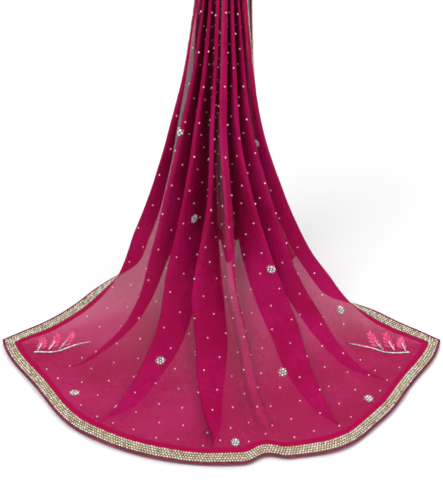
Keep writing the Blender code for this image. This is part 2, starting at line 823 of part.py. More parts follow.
def make_leaf(name: str, patch: Patch, leaf: tuple, corner: tuple, material, collection) -> None:
    """Make one raised leaf; its middle line bends, and it tapers to a point at either end.

    corner gives the hem's place along, the side edge's place across, and the way of each.
    """
    hem, side, up, over = corner
    grid = np.empty((LEAF_STEPS + 1, 2, 3))
    for step in range(LEAF_STEPS + 1):
        share = step / LEAF_STEPS
        sag = leaf.bend * math.sin(math.pi * share)
        middle = (
            leaf.from_hem + (leaf.to_hem - leaf.from_hem) * share + sag,
            leaf.from_side + (leaf.to_side - leaf.from_side) * share,
        )
        half = 0.0006 + leaf.half_width * math.sin(math.pi * (0.06 + 0.88 * share)) ** 0.8
        run = math.hypot(leaf.to_hem - leaf.from_hem, leaf.to_side - leaf.from_side)
        cross = ((leaf.to_side - leaf.from_side) / run, -(leaf.to_hem - leaf.from_hem) / run)
        for edge, sign in enumerate((1.0, -1.0)):
            along = hem + up * (middle[0] + sign * half * cross[0])
            across = side + over * (middle[1] + sign * half * cross[1])
            grid[step, edge] = patch.lifted(along, across, MOTIF_LIFT)
    make_sheet(name, grid, every_cell, 0.0, TRIM_WALL, material, collection)


def make_sprays(patches: dict, materials: dict, collection) -> None:
    """Make the leaf sprays in the corners of both ends."""
    corners = {
        "front_left": ("cloth_front", (0.0, 0.0, 1.0, 1.0)),
        "front_right": ("cloth_front", (0.0, CUT_WIDTH, 1.0, -1.0)),
    }
    for corner, (patch_name, frame) in corners.items():
        for leaf in LEAVES:
            name = f"spray_{corner}_{leaf.name}"
            make_leaf(name, patches[patch_name], leaf, frame, materials[leaf.finish], collection)


def make_stole(collection) -> None:
    """Make the cloth, its borders, its piping and its motifs."""
    materials = {
        "chiffon": make_material("chiffon", (0.42, 0.02, 0.12), 0.65, 0.0),
        "sequins": make_material("sequins", (0.80, 0.58, 0.26), 0.30, 0.9),
        "piping": make_material("piping", (0.22, 0.01, 0.07), 0.60, 0.0),
        "plume": make_material("plume", (0.62, 0.09, 0.20), 0.55, 0.0),
        "silver": make_material("silver", (0.72, 0.70, 0.68), 0.30, 0.9),
    }
    stretches = {
        "front": (front_alongs(), "first"),
        "crown": (crown_alongs(), "none"),
        "back": (back_alongs(), "last"),
    }
    patches = {}
    for name, (alongs, hem) in stretches.items():
        patch = Patch(alongs)
        patches["cloth_" + name] = patch
        cloth = materials["chiffon"]
        make_sheet("cloth_" + name, patch.grid, every_cell, 0.0, WALL, cloth, collection)
        grid = trim_grid(patch, hem)
        make_trim("piping_" + name, grid, hem, 0, materials["piping"], collection)
        make_trim("border_" + name, grid, hem, 2, materials["sequins"], collection)
    for index, spot in enumerate(FLOWERS):
        name = f"flower_{index + 1}"
        make_flower(name, patches["cloth_front"], spot, materials["silver"], collection)
    make_sprays(patches, materials, collection)


def clear_scene() -> None:
    """Remove the objects that the scene starts with."""
    for item in list(bpy.data.objects):
        bpy.data.objects.remove(item, do_unlink=True)


def main() -> None:
    """Build the stole."""
    clear_scene()
    collection = bpy.data.collections.new(COLLECTION_NAME)
    bpy.context.scene.collection.children.link(collection)
    make_stole(collection)


if __name__ == "__main__":
    main()
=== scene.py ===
"""Looks of a sheer dupatta stole: fine cloth, sequin border, piping, beads and corner sprays.

The stole is one rectangle of georgette. A place on it is given by two distances in metres:
along, from the front hem over the hold to the back hem, and across, from its left edge.
"""

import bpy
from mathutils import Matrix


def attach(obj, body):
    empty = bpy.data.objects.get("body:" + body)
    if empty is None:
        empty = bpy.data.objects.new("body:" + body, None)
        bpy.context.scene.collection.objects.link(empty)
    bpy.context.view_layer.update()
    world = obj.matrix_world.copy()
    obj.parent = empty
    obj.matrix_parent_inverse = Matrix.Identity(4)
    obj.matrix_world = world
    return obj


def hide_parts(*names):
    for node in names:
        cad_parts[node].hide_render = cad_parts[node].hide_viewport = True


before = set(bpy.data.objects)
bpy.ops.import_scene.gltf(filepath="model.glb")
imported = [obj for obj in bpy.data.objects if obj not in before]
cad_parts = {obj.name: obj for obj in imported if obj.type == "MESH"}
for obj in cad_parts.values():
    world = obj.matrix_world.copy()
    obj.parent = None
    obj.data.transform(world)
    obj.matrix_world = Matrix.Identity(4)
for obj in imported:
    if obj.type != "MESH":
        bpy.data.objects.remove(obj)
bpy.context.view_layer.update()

import logging
import math
from dataclasses import dataclass, field
from enum import Enum
from typing import NamedTuple, Optional

import bpy
import numpy as np

LOG = logging.getLogger("stole")

CUT_WIDTH = 0.950
HOLD_RADIUS = 0.012
HOLD_HEIGHT = 1.000
FLOOR = -HOLD_HEIGHT
AXIS_HEIGHT = HOLD_HEIGHT - HOLD_RADIUS
SEAM_GAP = 0.0003
SEAM_LAP = 0.002

CLOTH_WALL = 0.0004
PIPING_WIDTH = 0.0030
BORDER_INSET = 0.0034
BORDER_WIDTH = 0.0146
BORDER_MIDDLE = 0.0107
BORDER_EDGE = BORDER_INSET + BORDER_WIDTH
TURNED_HEM = 0.026

JOIN_WIDTH = 0.005
LEAST_BACK = 0.008
LEAST_BEND = 0.003
BEND_SHARE = 0.84
BEND_OF_ADVANCE = 0.25
BEND_BALANCE = 1 / 2 - 1 / math.pi
JOIN_STEEPEST = math.radians(86.0)
JOIN_EASING = 0.7
FULLEST = 0.965
JOIN_ROUNDS = 3
FLAT_HEM = 0.020
FOLDS_GROW = 0.055
TUCK_STRIP = 0.0215
TUCK_BEND = 0.0085
TUCK_DEPTH = TUCK_STRIP + TUCK_BEND
TUCK_TURN = math.radians(165.0)
HEM_WAVE_REACH = 0.16
SECTION_STEPS = 12
MITRE_ROOM = 0.024
OPEN_FALL = 0.480
OPEN_ROWS = 0.0075
FRONT_ROWS = 0.0135
CROWN_ROWS = 0.0120
BACK_ROWS = 0.0150


class Stretch(Enum):
    """The three stretches that the stole's one rectangle is made in."""

    FRONT = "front"
    CROWN = "crown"
    BACK = "back"


class Grain(Enum):
    """The small solid that a scatter sets at each of its points."""

    DISC = "disc"
    BALL = "ball"


class Station(NamedTuple):
    """One level of a fall, in metres and degrees.

    height and reach place the pleats' middle crest; half_width and spread give the ring of
    crests; shift moves it to the right; stir, even and lean say how far the minor pleats
    have woken, how near they are to their gathered sizes and how flat they lie; bend is the
    radius of a pleat's edge; packed says how far the gathered pleats are made alike.
    """

    height: float
    reach: float
    half_width: float
    spread: float
    shift: float
    stir: float
    even: float
    lean: float
    bend: float
    packed: float


FRONT_STATIONS = (
    Station(0.0042, 0.355, 0.3440, 77.0, 0.000, 0.06, 0.00, 0.97, 0.0080, 0.0),
    Station(0.0150, 0.326, 0.3150, 77.0, 0.000, 0.08, 0.02, 0.97, 0.0070, 0.0),
    Station(0.0290, 0.286, 0.2760, 77.0, 0.000, 0.12, 0.05, 0.96, 0.0065, 0.0),
    Station(0.0470, 0.249, 0.2400, 77.0, -0.001, 0.18, 0.12, 0.94, 0.0060, 0.0),
    Station(0.0830, 0.204, 0.1940, 77.0, -0.003, 0.28, 0.25, 0.86, 0.0055, 0.0),
    Station(0.1350, 0.168, 0.1520, 76.0, -0.005, 0.42, 0.45, 0.60, 0.0050, 0.0),
    Station(0.2150, 0.138, 0.1140, 72.0, -0.006, 0.72, 0.65, 0.22, 0.0042, 0.0),
    Station(0.2900, 0.120, 0.0890, 62.0, -0.007, 0.94, 0.80, 0.04, 0.0036, 0.0),
    Station(0.3800, 0.105, 0.0640, 42.0, -0.008, 1.00, 0.95, 0.00, 0.0032, 0.0),
    Station(0.5100, 0.092, 0.0390, 19.0, -0.003, 1.00, 1.00, 0.00, 0.0026, 0.0),
    Station(0.6400, 0.084, 0.0252, 8.5, 0.000, 1.00, 1.00, 0.00, 0.0021, 0.4),
    Station(0.8000, 0.079, 0.0238, 7.0, 0.000, 1.00, 1.00, 0.00, 0.0020, 1.0),
    Station(AXIS_HEIGHT, 0.079, 0.0238, 7.0, 0.000, 1.00, 1.00, 0.00, 0.0020, 1.0),
)

BACK_STATIONS = (
    Station(AXIS_HEIGHT, 0.079, 0.0238, 7.0, 0.000, 1.00, 1.00, 0.00, 0.0020, 1.0),
    Station(0.8000, 0.080, 0.0275, 7.5, 0.002, 1.00, 1.00, 0.00, 0.0021, 1.0),
    Station(0.6200, 0.084, 0.0310, 10.0, 0.004, 1.00, 1.00, 0.00, 0.0026, 1.0),
    Station(0.4200, 0.096, 0.0385, 16.0, 0.0035, 1.00, 1.00, 0.00, 0.0034, 1.0),
    Station(0.2400, 0.112, 0.0610, 26.0, 0.001, 1.00, 1.00, 0.00, 0.0046, 1.0),
    Station(0.1100, 0.122, 0.0900, 34.0, 0.009, 1.00, 1.00, 0.00, 0.0058, 1.0),
    Station(0.0500, 0.126, 0.1080, 37.0, 0.014, 1.00, 1.00, 0.00, 0.0066, 1.0),
)


class Pleat(NamedTuple):
    """One pleat: its cloth at the hem and where gathered, and 1 if it runs to the hem, else 0."""

    at_hem: float
    gathered: float
    main: float


LEFT_PLEATS = (
    Pleat(0.125, 0.145, 0.0),
    Pleat(0.150, 0.145, 1.0),
    Pleat(0.190, 0.160, 1.0),
    Pleat(0.090, 0.095, 0.0),
)
RIGHT_PLEATS = (
    Pleat(0.150, 0.135, 0.35),
    Pleat(0.135, 0.135, 1.0),
    Pleat(0.105, 0.130, 0.0),
)
PLEATS = LEFT_PLEATS + RIGHT_PLEATS


class Tuck(NamedTuple):
    """Where a side edge turns under, as distances from the front hem: its start and end."""

    start: float
    end: float


LEFT_TUCK = Tuck(0.155, 0.300)
RIGHT_TUCK = Tuck(0.095, 0.235)


class HemWave(NamedTuple):
    """A soft lobe of the front hem: its middle across the cloth, half length and size."""

    across: float
    half_length: float
    size: float


HEM_WAVES = (
    HemWave(0.130, 0.125, -0.014),
    HemWave(0.542, 0.035, -0.012),
    HemWave(0.655, 0.090, 0.012),
    HemWave(0.830, 0.105, -0.011),
)


class Crease(NamedTuple):
    """A soft trough (height below 0) or ridge: its two ends, half width and height."""

    along_a: float
    across_a: float
    along_b: float
    across_b: float
    half_width: float
    height: float


CREASES = (
    Crease(0.260, 0.060, 0.060, 0.050, 0.020, -0.0030),
    Crease(0.300, 0.100, 0.030, 0.105, 0.018, 0.0028),
    Crease(0.200, 0.175, 0.022, 0.190, 0.016, -0.0026),
    Crease(0.240, 0.215, 0.030, 0.240, 0.014, 0.0030),
    Crease(0.180, 0.330, 0.024, 0.345, 0.018, -0.0026),
    Crease(0.230, 0.385, 0.030, 0.410, 0.016, 0.0024),
    Crease(0.110, 0.435, 0.020, 0.440, 0.010, -0.0022),
    Crease(0.150, 0.510, 0.018, 0.520, 0.010, 0.0030),
    Crease(0.120, 0.555, 0.018, 0.560, 0.009, -0.0030),
    Crease(0.260, 0.600, 0.030, 0.620, 0.016, 0.0026),
    Crease(0.190, 0.700, 0.024, 0.715, 0.016, -0.0028),
    Crease(0.280, 0.770, 0.040, 0.760, 0.018, 0.0030),
    Crease(0.240, 0.840, 0.030, 0.850, 0.018, -0.0030),
    Crease(0.300, 0.890, 0.060, 0.905, 0.016, 0.0024),
    Crease(0.075, 0.060, 0.045, 0.160, 0.014, 0.0016),
    Crease(0.090, 0.880, 0.050, 0.780, 0.014, 0.0018),
    Crease(0.200, 0.030, 0.110, 0.120, 0.016, 0.0022),
    Crease(0.210, 0.920, 0.120, 0.830, 0.016, 0.0022),
)


def read_smoothly(xs: np.ndarray, ys: np.ndarray, x: float) -> float:
    """Read a table at x along a curve that never overshoots its own rows.

    Args:
        xs: the table's places, growing.
        ys: the table's values.
        x: where to read it.

    Returns:
        The value at x.
    """
    gaps = np.diff(xs)
    slopes = np.diff(ys) / gaps
    tangents = np.empty(len(xs))
    tangents[0] = slopes[0]
    tangents[-1] = slopes[-1]
    for i in range(1, len(xs) - 1):
        before = slopes[i - 1]
        after = slopes[i]
        if before * after <= 0.0:
            tangents[i] = 0.0
            continue
        weight_before = 2 * gaps[i] + gaps[i - 1]
        weight_after = gaps[i] + 2 * gaps[i - 1]
        total = weight_before + weight_after
        tangents[i] = total / (weight_before / before + weight_after / after)
    k = int(np.clip(np.searchsorted(xs, x, side="right") - 1, 0, len(xs) - 2))
    t = float(np.clip((x - xs[k]) / gaps[k], 0.0, 1.0))
    from_value = (2 * t ** 3 - 3 * t ** 2 + 1) * ys[k] + (3 * t ** 2 - 2 * t ** 3) * ys[k + 1]
    from_slope = (t ** 3 - 2 * t ** 2 + t) * tangents[k] + (t ** 3 - t ** 2) * tangents[k + 1]
    return float(from_value + gaps[k] * from_slope)


class Fall:
    """One fall of the stole, read at any distance along its middle crest."""

    def __init__(self, stations: tuple, toward: float) -> None:
        """Lay the stations out along the fall.

        Args:
            stations: the fall's levels.
            toward: -1 for the front, +1 for the back.
        """
        self.toward = toward
        self.columns = np.array(stations)
        steps = np.hypot(np.diff(self.columns[:, 0]), np.diff(self.columns[:, 1]))
        self.along = np.concatenate(([0.0], np.cumsum(steps)))
        self.length = float(self.along[-1])

    def station(self, along: float) -> Station:
        """Return the level at a distance along the fall."""
        values = [read_smoothly(self.along, column, along) for column in self.columns.T]
        return Station(*values)


FRONT = Fall(FRONT_STATIONS, -1.0)
BACK = Fall(BACK_STATIONS, 1.0)
CROWN_REACH = FRONT_STATIONS[-1].reach
CROWN_LENGTH = math.pi * CROWN_REACH
CROWN_START = FRONT.length
BACK_START = FRONT.length + CROWN_LENGTH
BACK_HEM = BACK_START + BACK.length


class Row(NamedTuple):
    """Where one row of the cloth lies: its ring, its directions and its pleats."""

    station: Station
    radius: float
    centre: tuple
    outward: tuple
    tilt_out: float
    tilt_up: float


class Walk(NamedTuple):
    """A stretch of a row's walk, along which the heading changes evenly."""

    length: float
    first_heading: float
    last_heading: float


class Sizes(NamedTuple):
    """The cloth in each part of a pleat, and the headings that it is given."""

    opening: float
    face: float
    valley: float
    back: float
    crest: float
    first: Optional[float]
    last: Optional[float]


class Drape:
    """The drape's mathematics: each row is a walk of the full cut width round a ring.

    The walk turns in and out at each pleat and comes back to the ring.
    """

    FACE_COLUMNS = 11
    EDGE_FACE_COLUMNS = 9
    VALLEY_COLUMNS = 6
    BACK_COLUMNS = 8
    CREST_COLUMNS = 3

    def row_at(self, along: float) -> Row:
        """Return the row at a distance from the front hem.

        Args:
            along: the distance from the front hem, in metres.

        Returns:
            The row.
        """
        if along <= CROWN_START:
            return self.falling_row(FRONT, along, 1.0)
        if along >= BACK_START:
            return self.falling_row(BACK, along - BACK_START, -1.0)
        station = FRONT_STATIONS[-1]
        radius = station.half_width / math.sin(math.radians(station.spread))
        turn = (along - CROWN_START) / CROWN_REACH
        outward = (0.0, -math.cos(turn), math.sin(turn))
        offset = station.reach - radius
        centre = (station.shift, outward[1] * offset, -HOLD_RADIUS + outward[2] * offset)
        return Row(station, radius, centre, outward, 1.0, 0.0)

    def falling_row(self, fall: Fall, along: float, upward: float) -> Row:
        """Return a row of a fall.

        Args:
            fall: the fall.
            along: the distance along it.
            upward: 1 where that distance grows towards the hold, -1 where it grows away.

        Returns:
            The row.
        """
        station = fall.station(along)
        step = 0.002
        low = fall.station(max(along - step, 0.0))
        high = fall.station(min(along + step, fall.length))
        rise = (high.height - low.height) * upward
        inward = (low.reach - high.reach) * upward
        length = math.hypot(rise, inward)
        radius = station.half_width / math.sin(math.radians(station.spread))
        centre = (station.shift, fall.toward * (station.reach - radius), FLOOR + station.height)
        return Row(station, radius, centre, (0.0, fall.toward, 0.0), rise / length,
                   inward / length)

    def follow(self, row: Row, walks: list, azimuth: float, fineness: int) -> tuple:
        """Walk a pleat and return the distance, depth and azimuth at each step's end.

        Args:
            row: the row that is walked.
            walks: the stretches of the walk, in order.
            azimuth: where on the ring the walk starts.
            fineness: the steps in each stretch.

        Returns:
            The distance, depth and azimuth at each step's end.
        """
        middles = (np.arange(fineness) + 0.5) / fineness
        headings = np.concatenate([
            walk.first_heading + (walk.last_heading - walk.first_heading) * middles
            for walk in walks
        ])
        lengths = np.repeat([walk.length / fineness for walk in walks], fineness)
        depths = np.concatenate(([0.0], np.cumsum(np.sin(headings) * lengths)))
        ring = row.radius + row.tilt_out * (depths[:-1] + depths[1:]) / 2
        turns = np.cos(headings) * lengths / ring
        azimuths = azimuth + np.concatenate(([0.0], np.cumsum(turns)))
        distances = np.concatenate(([0.0], np.cumsum(lengths)))
        return distances, depths, azimuths

    def pleat_walks(self, sizes: Sizes, headings: tuple) -> list:
        """Return the parts of one pleat: in along its face, round, and back out.

        Args:
            sizes: the cloth in each part of the pleat.
            headings: the headings of its face and of its back.

        Returns:
            The walks.
        """
        inward, outward = headings
        first = inward if sizes.first is None else sizes.first
        last = (outward + inward) / 2 if sizes.last is None else sizes.last
        return [
            Walk(sizes.opening, first, inward),
            Walk(sizes.face, inward, inward),
            Walk(sizes.valley, inward, outward),
            Walk(sizes.back, outward, outward),
            Walk(sizes.crest, outward, last),
        ]

    def triangle_headings(self, face: float, back: float, chord: float) -> tuple:
        """Return the headings of two walls that close a triangle on their chord.

        Args:
            face: the first wall's length.
            back: the second wall's length.
            chord: the distance between their far ends.

        Returns:
            The headings of the face and of the back.
        """
        chord = max(chord, abs(face - back) * 1.002, 1e-4)
        face_cosine = (face ** 2 + chord ** 2 - back ** 2) / (2 * face * chord)
        inward = -math.acos(float(np.clip(face_cosine, -1.0, 1.0)))
        back_cosine = (chord - face * math.cos(inward)) / back
        outward = math.acos(float(np.clip(back_cosine, -1.0, 1.0)))
        return inward, outward

    def solve_pleat(self, row: Row, sizes: Sizes, guess: tuple, advance: float,
                    azimuth: float) -> list:
        """Find the headings that bring a pleat back to the ring after its advance.

        Args:
            row: the row that is walked.
            sizes: the cloth in each part of the pleat.
            guess: the headings to start from.
            advance: how far the pleat moves on round the ring.
            azimuth: where on the ring it starts.

        Returns:
            The pleat's walks, at the headings found.
        """
        steepest = np.array([-1.80, 3.13])
        flattest = np.array([-0.001, 0.001])

        def miss(trial: np.ndarray) -> np.ndarray:
            """Return how far a trial ends from the ring and from its advance.

            Args:
                trial: the headings that are tried.

            Returns:
                The two distances by which it misses.
            """
            walks = self.pleat_walks(sizes, tuple(trial))
            _, depths, azimuths = self.follow(row, walks, azimuth, 10)
            return np.array([depths[-1], (azimuths[-1] - azimuth) * row.radius - advance])

        headings = np.array(guess)
        nudge = 1e-5
        for _ in range(16):
            error = miss(headings)
            if np.max(np.abs(error)) < 1e-7:
                break
            slope = np.column_stack([
                (miss(headings + np.array([nudge, 0.0])) - error) / nudge,
                (miss(headings + np.array([0.0, nudge])) - error) / nudge,
            ])
            step, *_ = np.linalg.lstsq(slope, error, rcond=1e-6)
            headings = headings - np.clip(step, -0.2, 0.2)
            headings[0] = np.clip(headings[0], steepest[0], flattest[0])
            headings[1] = np.clip(headings[1], flattest[1], steepest[1])
        return self.pleat_walks(sizes, tuple(headings))

    def pleat_cloth(self, pleat: Pleat, station: Station) -> float:
        """Return the cloth in a pleat at a level.

        Args:
            pleat: the pleat.
            station: the level.

        Returns:
            The cloth, in metres.
        """
        alike = (CUT_WIDTH - JOIN_WIDTH) / len(PLEATS)
        gathered = pleat.gathered + (alike - pleat.gathered) * station.packed
        return pleat.at_hem + (gathered - pleat.at_hem) * station.even

    def pleat_wake(self, pleat: Pleat, station: Station) -> float:
        """Return how far a pleat has woken at a level, 0 to 1."""
        return pleat.main + (1.0 - pleat.main) * station.stir

    def size_pleat(self, row: Row, cloth: float, advance: float, lean: float, opening: float,
                   heading: Optional[float], at_join: bool) -> tuple:
        """Share a pleat's cloth out among its walls and bends.

        Args:
            row: the row that is walked.
            cloth: all the cloth in the pleat.
            advance: how far the pleat moves on round the ring.
            lean: how flat the pleat lies, 0 to 1.
            opening: the half of its first bend, shared with the pleat before.
            heading: the heading at which the pleat before ends, None at the side edge.
            at_join: whether the pleat ends at the join.

        Returns:
            The sizes, and a guess at the headings.
        """
        station = row.station
        back = max((cloth - lean * advance) / 2, LEAST_BACK)
        depth = row.tilt_out * back * math.sqrt(1.0 - lean ** 2)
        inner_share = max(1.0 - depth / row.radius, 0.3)
        guess = self.triangle_headings(cloth - back, back, advance * (1.0 + inner_share) / 2)
        turn = guess[1] - guess[0]
        crest_radius = min(station.bend, BEND_OF_ADVANCE * advance)
        valley_radius = min(station.bend, BEND_OF_ADVANCE * advance * inner_share)
        crest = float(np.clip(crest_radius * turn, LEAST_BEND, back * BEND_SHARE))
        valley = float(np.clip(valley_radius * turn, LEAST_BEND, back * BEND_SHARE))
        back += (crest / 2 - opening) * BEND_BALANCE
        sizes = Sizes(
            opening=opening,
            face=cloth - back - opening - valley / 2,
            valley=valley,
            back=back - valley / 2 - crest / 2,
            crest=crest / 2,
            first=heading,
            last=0.0 if at_join else None,
        )
        return sizes, guess

    def tuck_share(self, tuck: Tuck, along: float) -> float:
        """Return how far a side edge is turned under, 0 to 1, rising smoothly."""
        share = min(max((along - tuck.start) / (tuck.end - tuck.start), 0.0), 1.0)
        return 0.5 - 0.5 * math.cos(math.pi * share)

    def turn_edge(self, row: Row, steps: tuple, heading: float, tucked: float) -> tuple:
        """Turn the start of an edge pleat's face under.

        Args:
            row: the row that is walked.
            steps: the pleat's distances, depths and azimuths.
            heading: the heading of its face.
            tucked: how far the edge is turned, 0 to 1.

        Returns:
            The distances, depths and azimuths with the edge turned.
        """
        distances, depths, azimuths = steps
        kept_from = (1.0 - tucked) * TUCK_DEPTH
        turn = TUCK_TURN * tucked
        walks = [
            Walk(TUCK_STRIP, heading + turn, heading + turn),
            Walk(TUCK_BEND, heading + turn, heading),
        ]
        strip = self.follow(row, walks, 0.0, 8)
        fold_depth = float(np.interp(kept_from, distances, depths))
        fold_azimuth = float(np.interp(kept_from, distances, azimuths))
        kept = distances > kept_from + 1e-6
        return (
            np.concatenate((strip[0], distances[kept] + tucked * TUCK_DEPTH)),
            np.concatenate((strip[1] - strip[1][-1] + fold_depth, depths[kept])),
            np.concatenate((strip[2] - strip[2][-1] + fold_azimuth, azimuths[kept])),
        )

    def walk_half(self, row: Row, pleats: tuple, use: float, tucked: float) -> tuple:
        """Walk one half of a row from its side edge to the join.

        Args:
            row: the row that is walked.
            pleats: the half's pleats, from its side edge.
            use: the share of the pleats' cloth that is folded away.
            tucked: how far the side edge is turned under, 0 to 1.

        Returns:
            The distances, depths, azimuths and column places, all from the side edge.
        """
        station = row.station
        distances = []
        depths = []
        azimuths = []
        columns = [np.zeros(1)]
        opening = 0.0
        heading = None
        start = 0.0
        start_azimuth = 0.0
        for index, pleat in enumerate(pleats):
            at_edge = index == 0
            at_join = index == len(pleats) - 1
            cloth = self.pleat_cloth(pleat, station)
            if at_edge:
                cloth -= tucked * TUCK_DEPTH
            advance = cloth * (1.0 - self.pleat_wake(pleat, station) * use)
            if at_edge:
                advance -= min(station.bend, BEND_OF_ADVANCE * advance) * station.even
            else:
                advance -= opening * (1.0 - math.cos(heading))
            lean = station.lean
            while True:
                sizes, guess = self.size_pleat(row, cloth, advance, lean, opening, heading,
                                               at_join)
                walks = self.solve_pleat(row, sizes, guess, advance, start_azimuth)
                if not at_join or walks[3].first_heading <= JOIN_STEEPEST or lean == 0.0:
                    break
                lean = lean * JOIN_EASING if lean > 0.02 else 0.0
            steps = self.follow(row, walks, start_azimuth, SECTION_STEPS)
            if at_edge:
                steps = self.turn_edge(row, steps, walks[1].first_heading, tucked)
                columns.append(self.edge_columns(sizes, tucked))
            else:
                steps = tuple(values[1:] for values in steps)
                columns.append(start + self.pleat_columns(sizes))
            distances.append(start + steps[0])
            depths.append(steps[1])
            azimuths.append(steps[2])
            start = float(distances[-1][-1])
            start_azimuth = float(azimuths[-1][-1])
            opening = sizes.crest
            heading = walks[-1].last_heading
        return tuple(np.concatenate(parts) for parts in (distances, depths, azimuths, columns))

    def pleat_columns(self, sizes: Sizes) -> np.ndarray:
        """Return where a pleat's mesh columns stand, from the pleat's start.

        Args:
            sizes: the cloth in each part of the pleat.

        Returns:
            The columns' distances.
        """
        return np.concatenate((
            sizes.opening * np.array([0.5, 1.0]),
            sizes.opening + sizes.face * self.shares(self.FACE_COLUMNS),
            self.columns_past_face(sizes),
        ))

    def edge_columns(self, sizes: Sizes, tucked: float) -> np.ndarray:
        """Return where an edge pleat's mesh columns stand, from the side edge.

        Args:
            sizes: the cloth in each part of the pleat.
            tucked: how far the edge is turned under, 0 to 1.

        Returns:
            The columns' distances.
        """
        turned = tucked * TUCK_DEPTH
        face = sizes.face + turned - TUCK_DEPTH
        return np.concatenate((
            np.array([BORDER_INSET, BORDER_MIDDLE, BORDER_EDGE, TUCK_STRIP]),
            TUCK_STRIP + TUCK_BEND * self.shares(4),
            TUCK_DEPTH + face * self.shares(self.EDGE_FACE_COLUMNS),
            turned + self.columns_past_face(sizes),
        ))

    def columns_past_face(self, sizes: Sizes) -> np.ndarray:
        """Return where the columns of a pleat's bends and back wall stand.

        Args:
            sizes: the cloth in each part of the pleat.

        Returns:
            The columns' distances.
        """
        ends = np.cumsum((sizes.opening, sizes.face, sizes.valley, sizes.back))
        return np.concatenate((
            ends[1] + sizes.valley * self.shares(self.VALLEY_COLUMNS),
            ends[2] + sizes.back * self.shares(self.BACK_COLUMNS),
            ends[3] + sizes.crest * self.shares(self.CREST_COLUMNS),
        ))

    @staticmethod
    def shares(count: int) -> np.ndarray:
        """Return even shares up to one."""
        return np.arange(1, count + 1) / count

    def solve_row(self, along: float) -> tuple:
        """Walk a whole row: the left half, the join and the right half.

        Args:
            along: the distance from the front hem, in metres.

        Returns:
            The columns' distances across the cloth, and their points.
        """
        row = self.row_at(along)
        station = row.station
        arc = 2 * math.radians(station.spread) * row.radius
        stirred = sum(
            self.pleat_cloth(pleat, station) * self.pleat_wake(pleat, station)
            for pleat in PLEATS
        )
        growth = min(max((along - FLAT_HEM) / FOLDS_GROW, 0.0), 1.0)
        taken = 0.5 - 0.5 * math.cos(math.pi * growth)
        walked_arc = CUT_WIDTH - (CUT_WIDTH - arc) * taken
        left_tucked = self.tuck_share(LEFT_TUCK, along)
        right_tucked = self.tuck_share(RIGHT_TUCK, along)
        turned_under = (left_tucked + right_tucked) * TUCK_DEPTH
        use = (CUT_WIDTH - turned_under - walked_arc) / stirred
        for _ in range(JOIN_ROUNDS):
            left = self.walk_half(row, LEFT_PLEATS, use, left_tucked)
            right = self.walk_half(row, RIGHT_PLEATS, use, right_tucked)
            gap = walked_arc - (left[2][-1] + right[2][-1]) * row.radius
            use = float(np.clip(use - (gap - JOIN_WIDTH) / stirred, 0.0, FULLEST))
        half_spread = walked_arc / row.radius / 2
        fit = arc / walked_arc
        across = np.concatenate((left[0], CUT_WIDTH - right[0][::-1]))
        depth = np.concatenate((left[1], right[1][::-1]))
        azimuth = fit * np.concatenate((left[2] - half_spread, half_spread - right[2][::-1]))
        columns = np.concatenate((left[3], CUT_WIDTH - right[3][::-1]))
        return columns, self.place(row, across, depth, azimuth, columns, along)

    def place(self, row: Row, walked: np.ndarray, walked_depth: np.ndarray,
              walked_azimuth: np.ndarray, across: np.ndarray, along: float) -> np.ndarray:
        """Return the points of the cloth's middle at distances across a row.

        Args:
            row: the row that is walked.
            walked: the distances across the cloth at the walk's steps.
            walked_depth: the walk's depths there.
            walked_azimuth: its azimuths there.
            across: the distances at which points are wanted.
            along: the distance from the front hem, in metres.

        Returns:
            The points.
        """
        depth = np.interp(across, walked, walked_depth)
        azimuth = np.interp(across, walked, walked_azimuth)
        wave = np.zeros_like(depth)
        if along < HEM_WAVE_REACH:
            fade = 0.5 + 0.5 * math.cos(math.pi * along / HEM_WAVE_REACH)
            for lobe in HEM_WAVES:
                from_middle = np.clip((across - lobe.across) / lobe.half_length, -1.0, 1.0)
                wave += fade * lobe.size * (0.5 + 0.5 * np.cos(math.pi * from_middle))
        ring = row.radius + wave + row.tilt_out * depth
        outward = ring * np.cos(azimuth)
        return np.column_stack((
            row.centre[0] + ring * np.sin(azimuth),
            row.centre[1] + outward * row.outward[1],
            row.centre[2] + outward * row.outward[2] + row.tilt_up * depth,
        ))


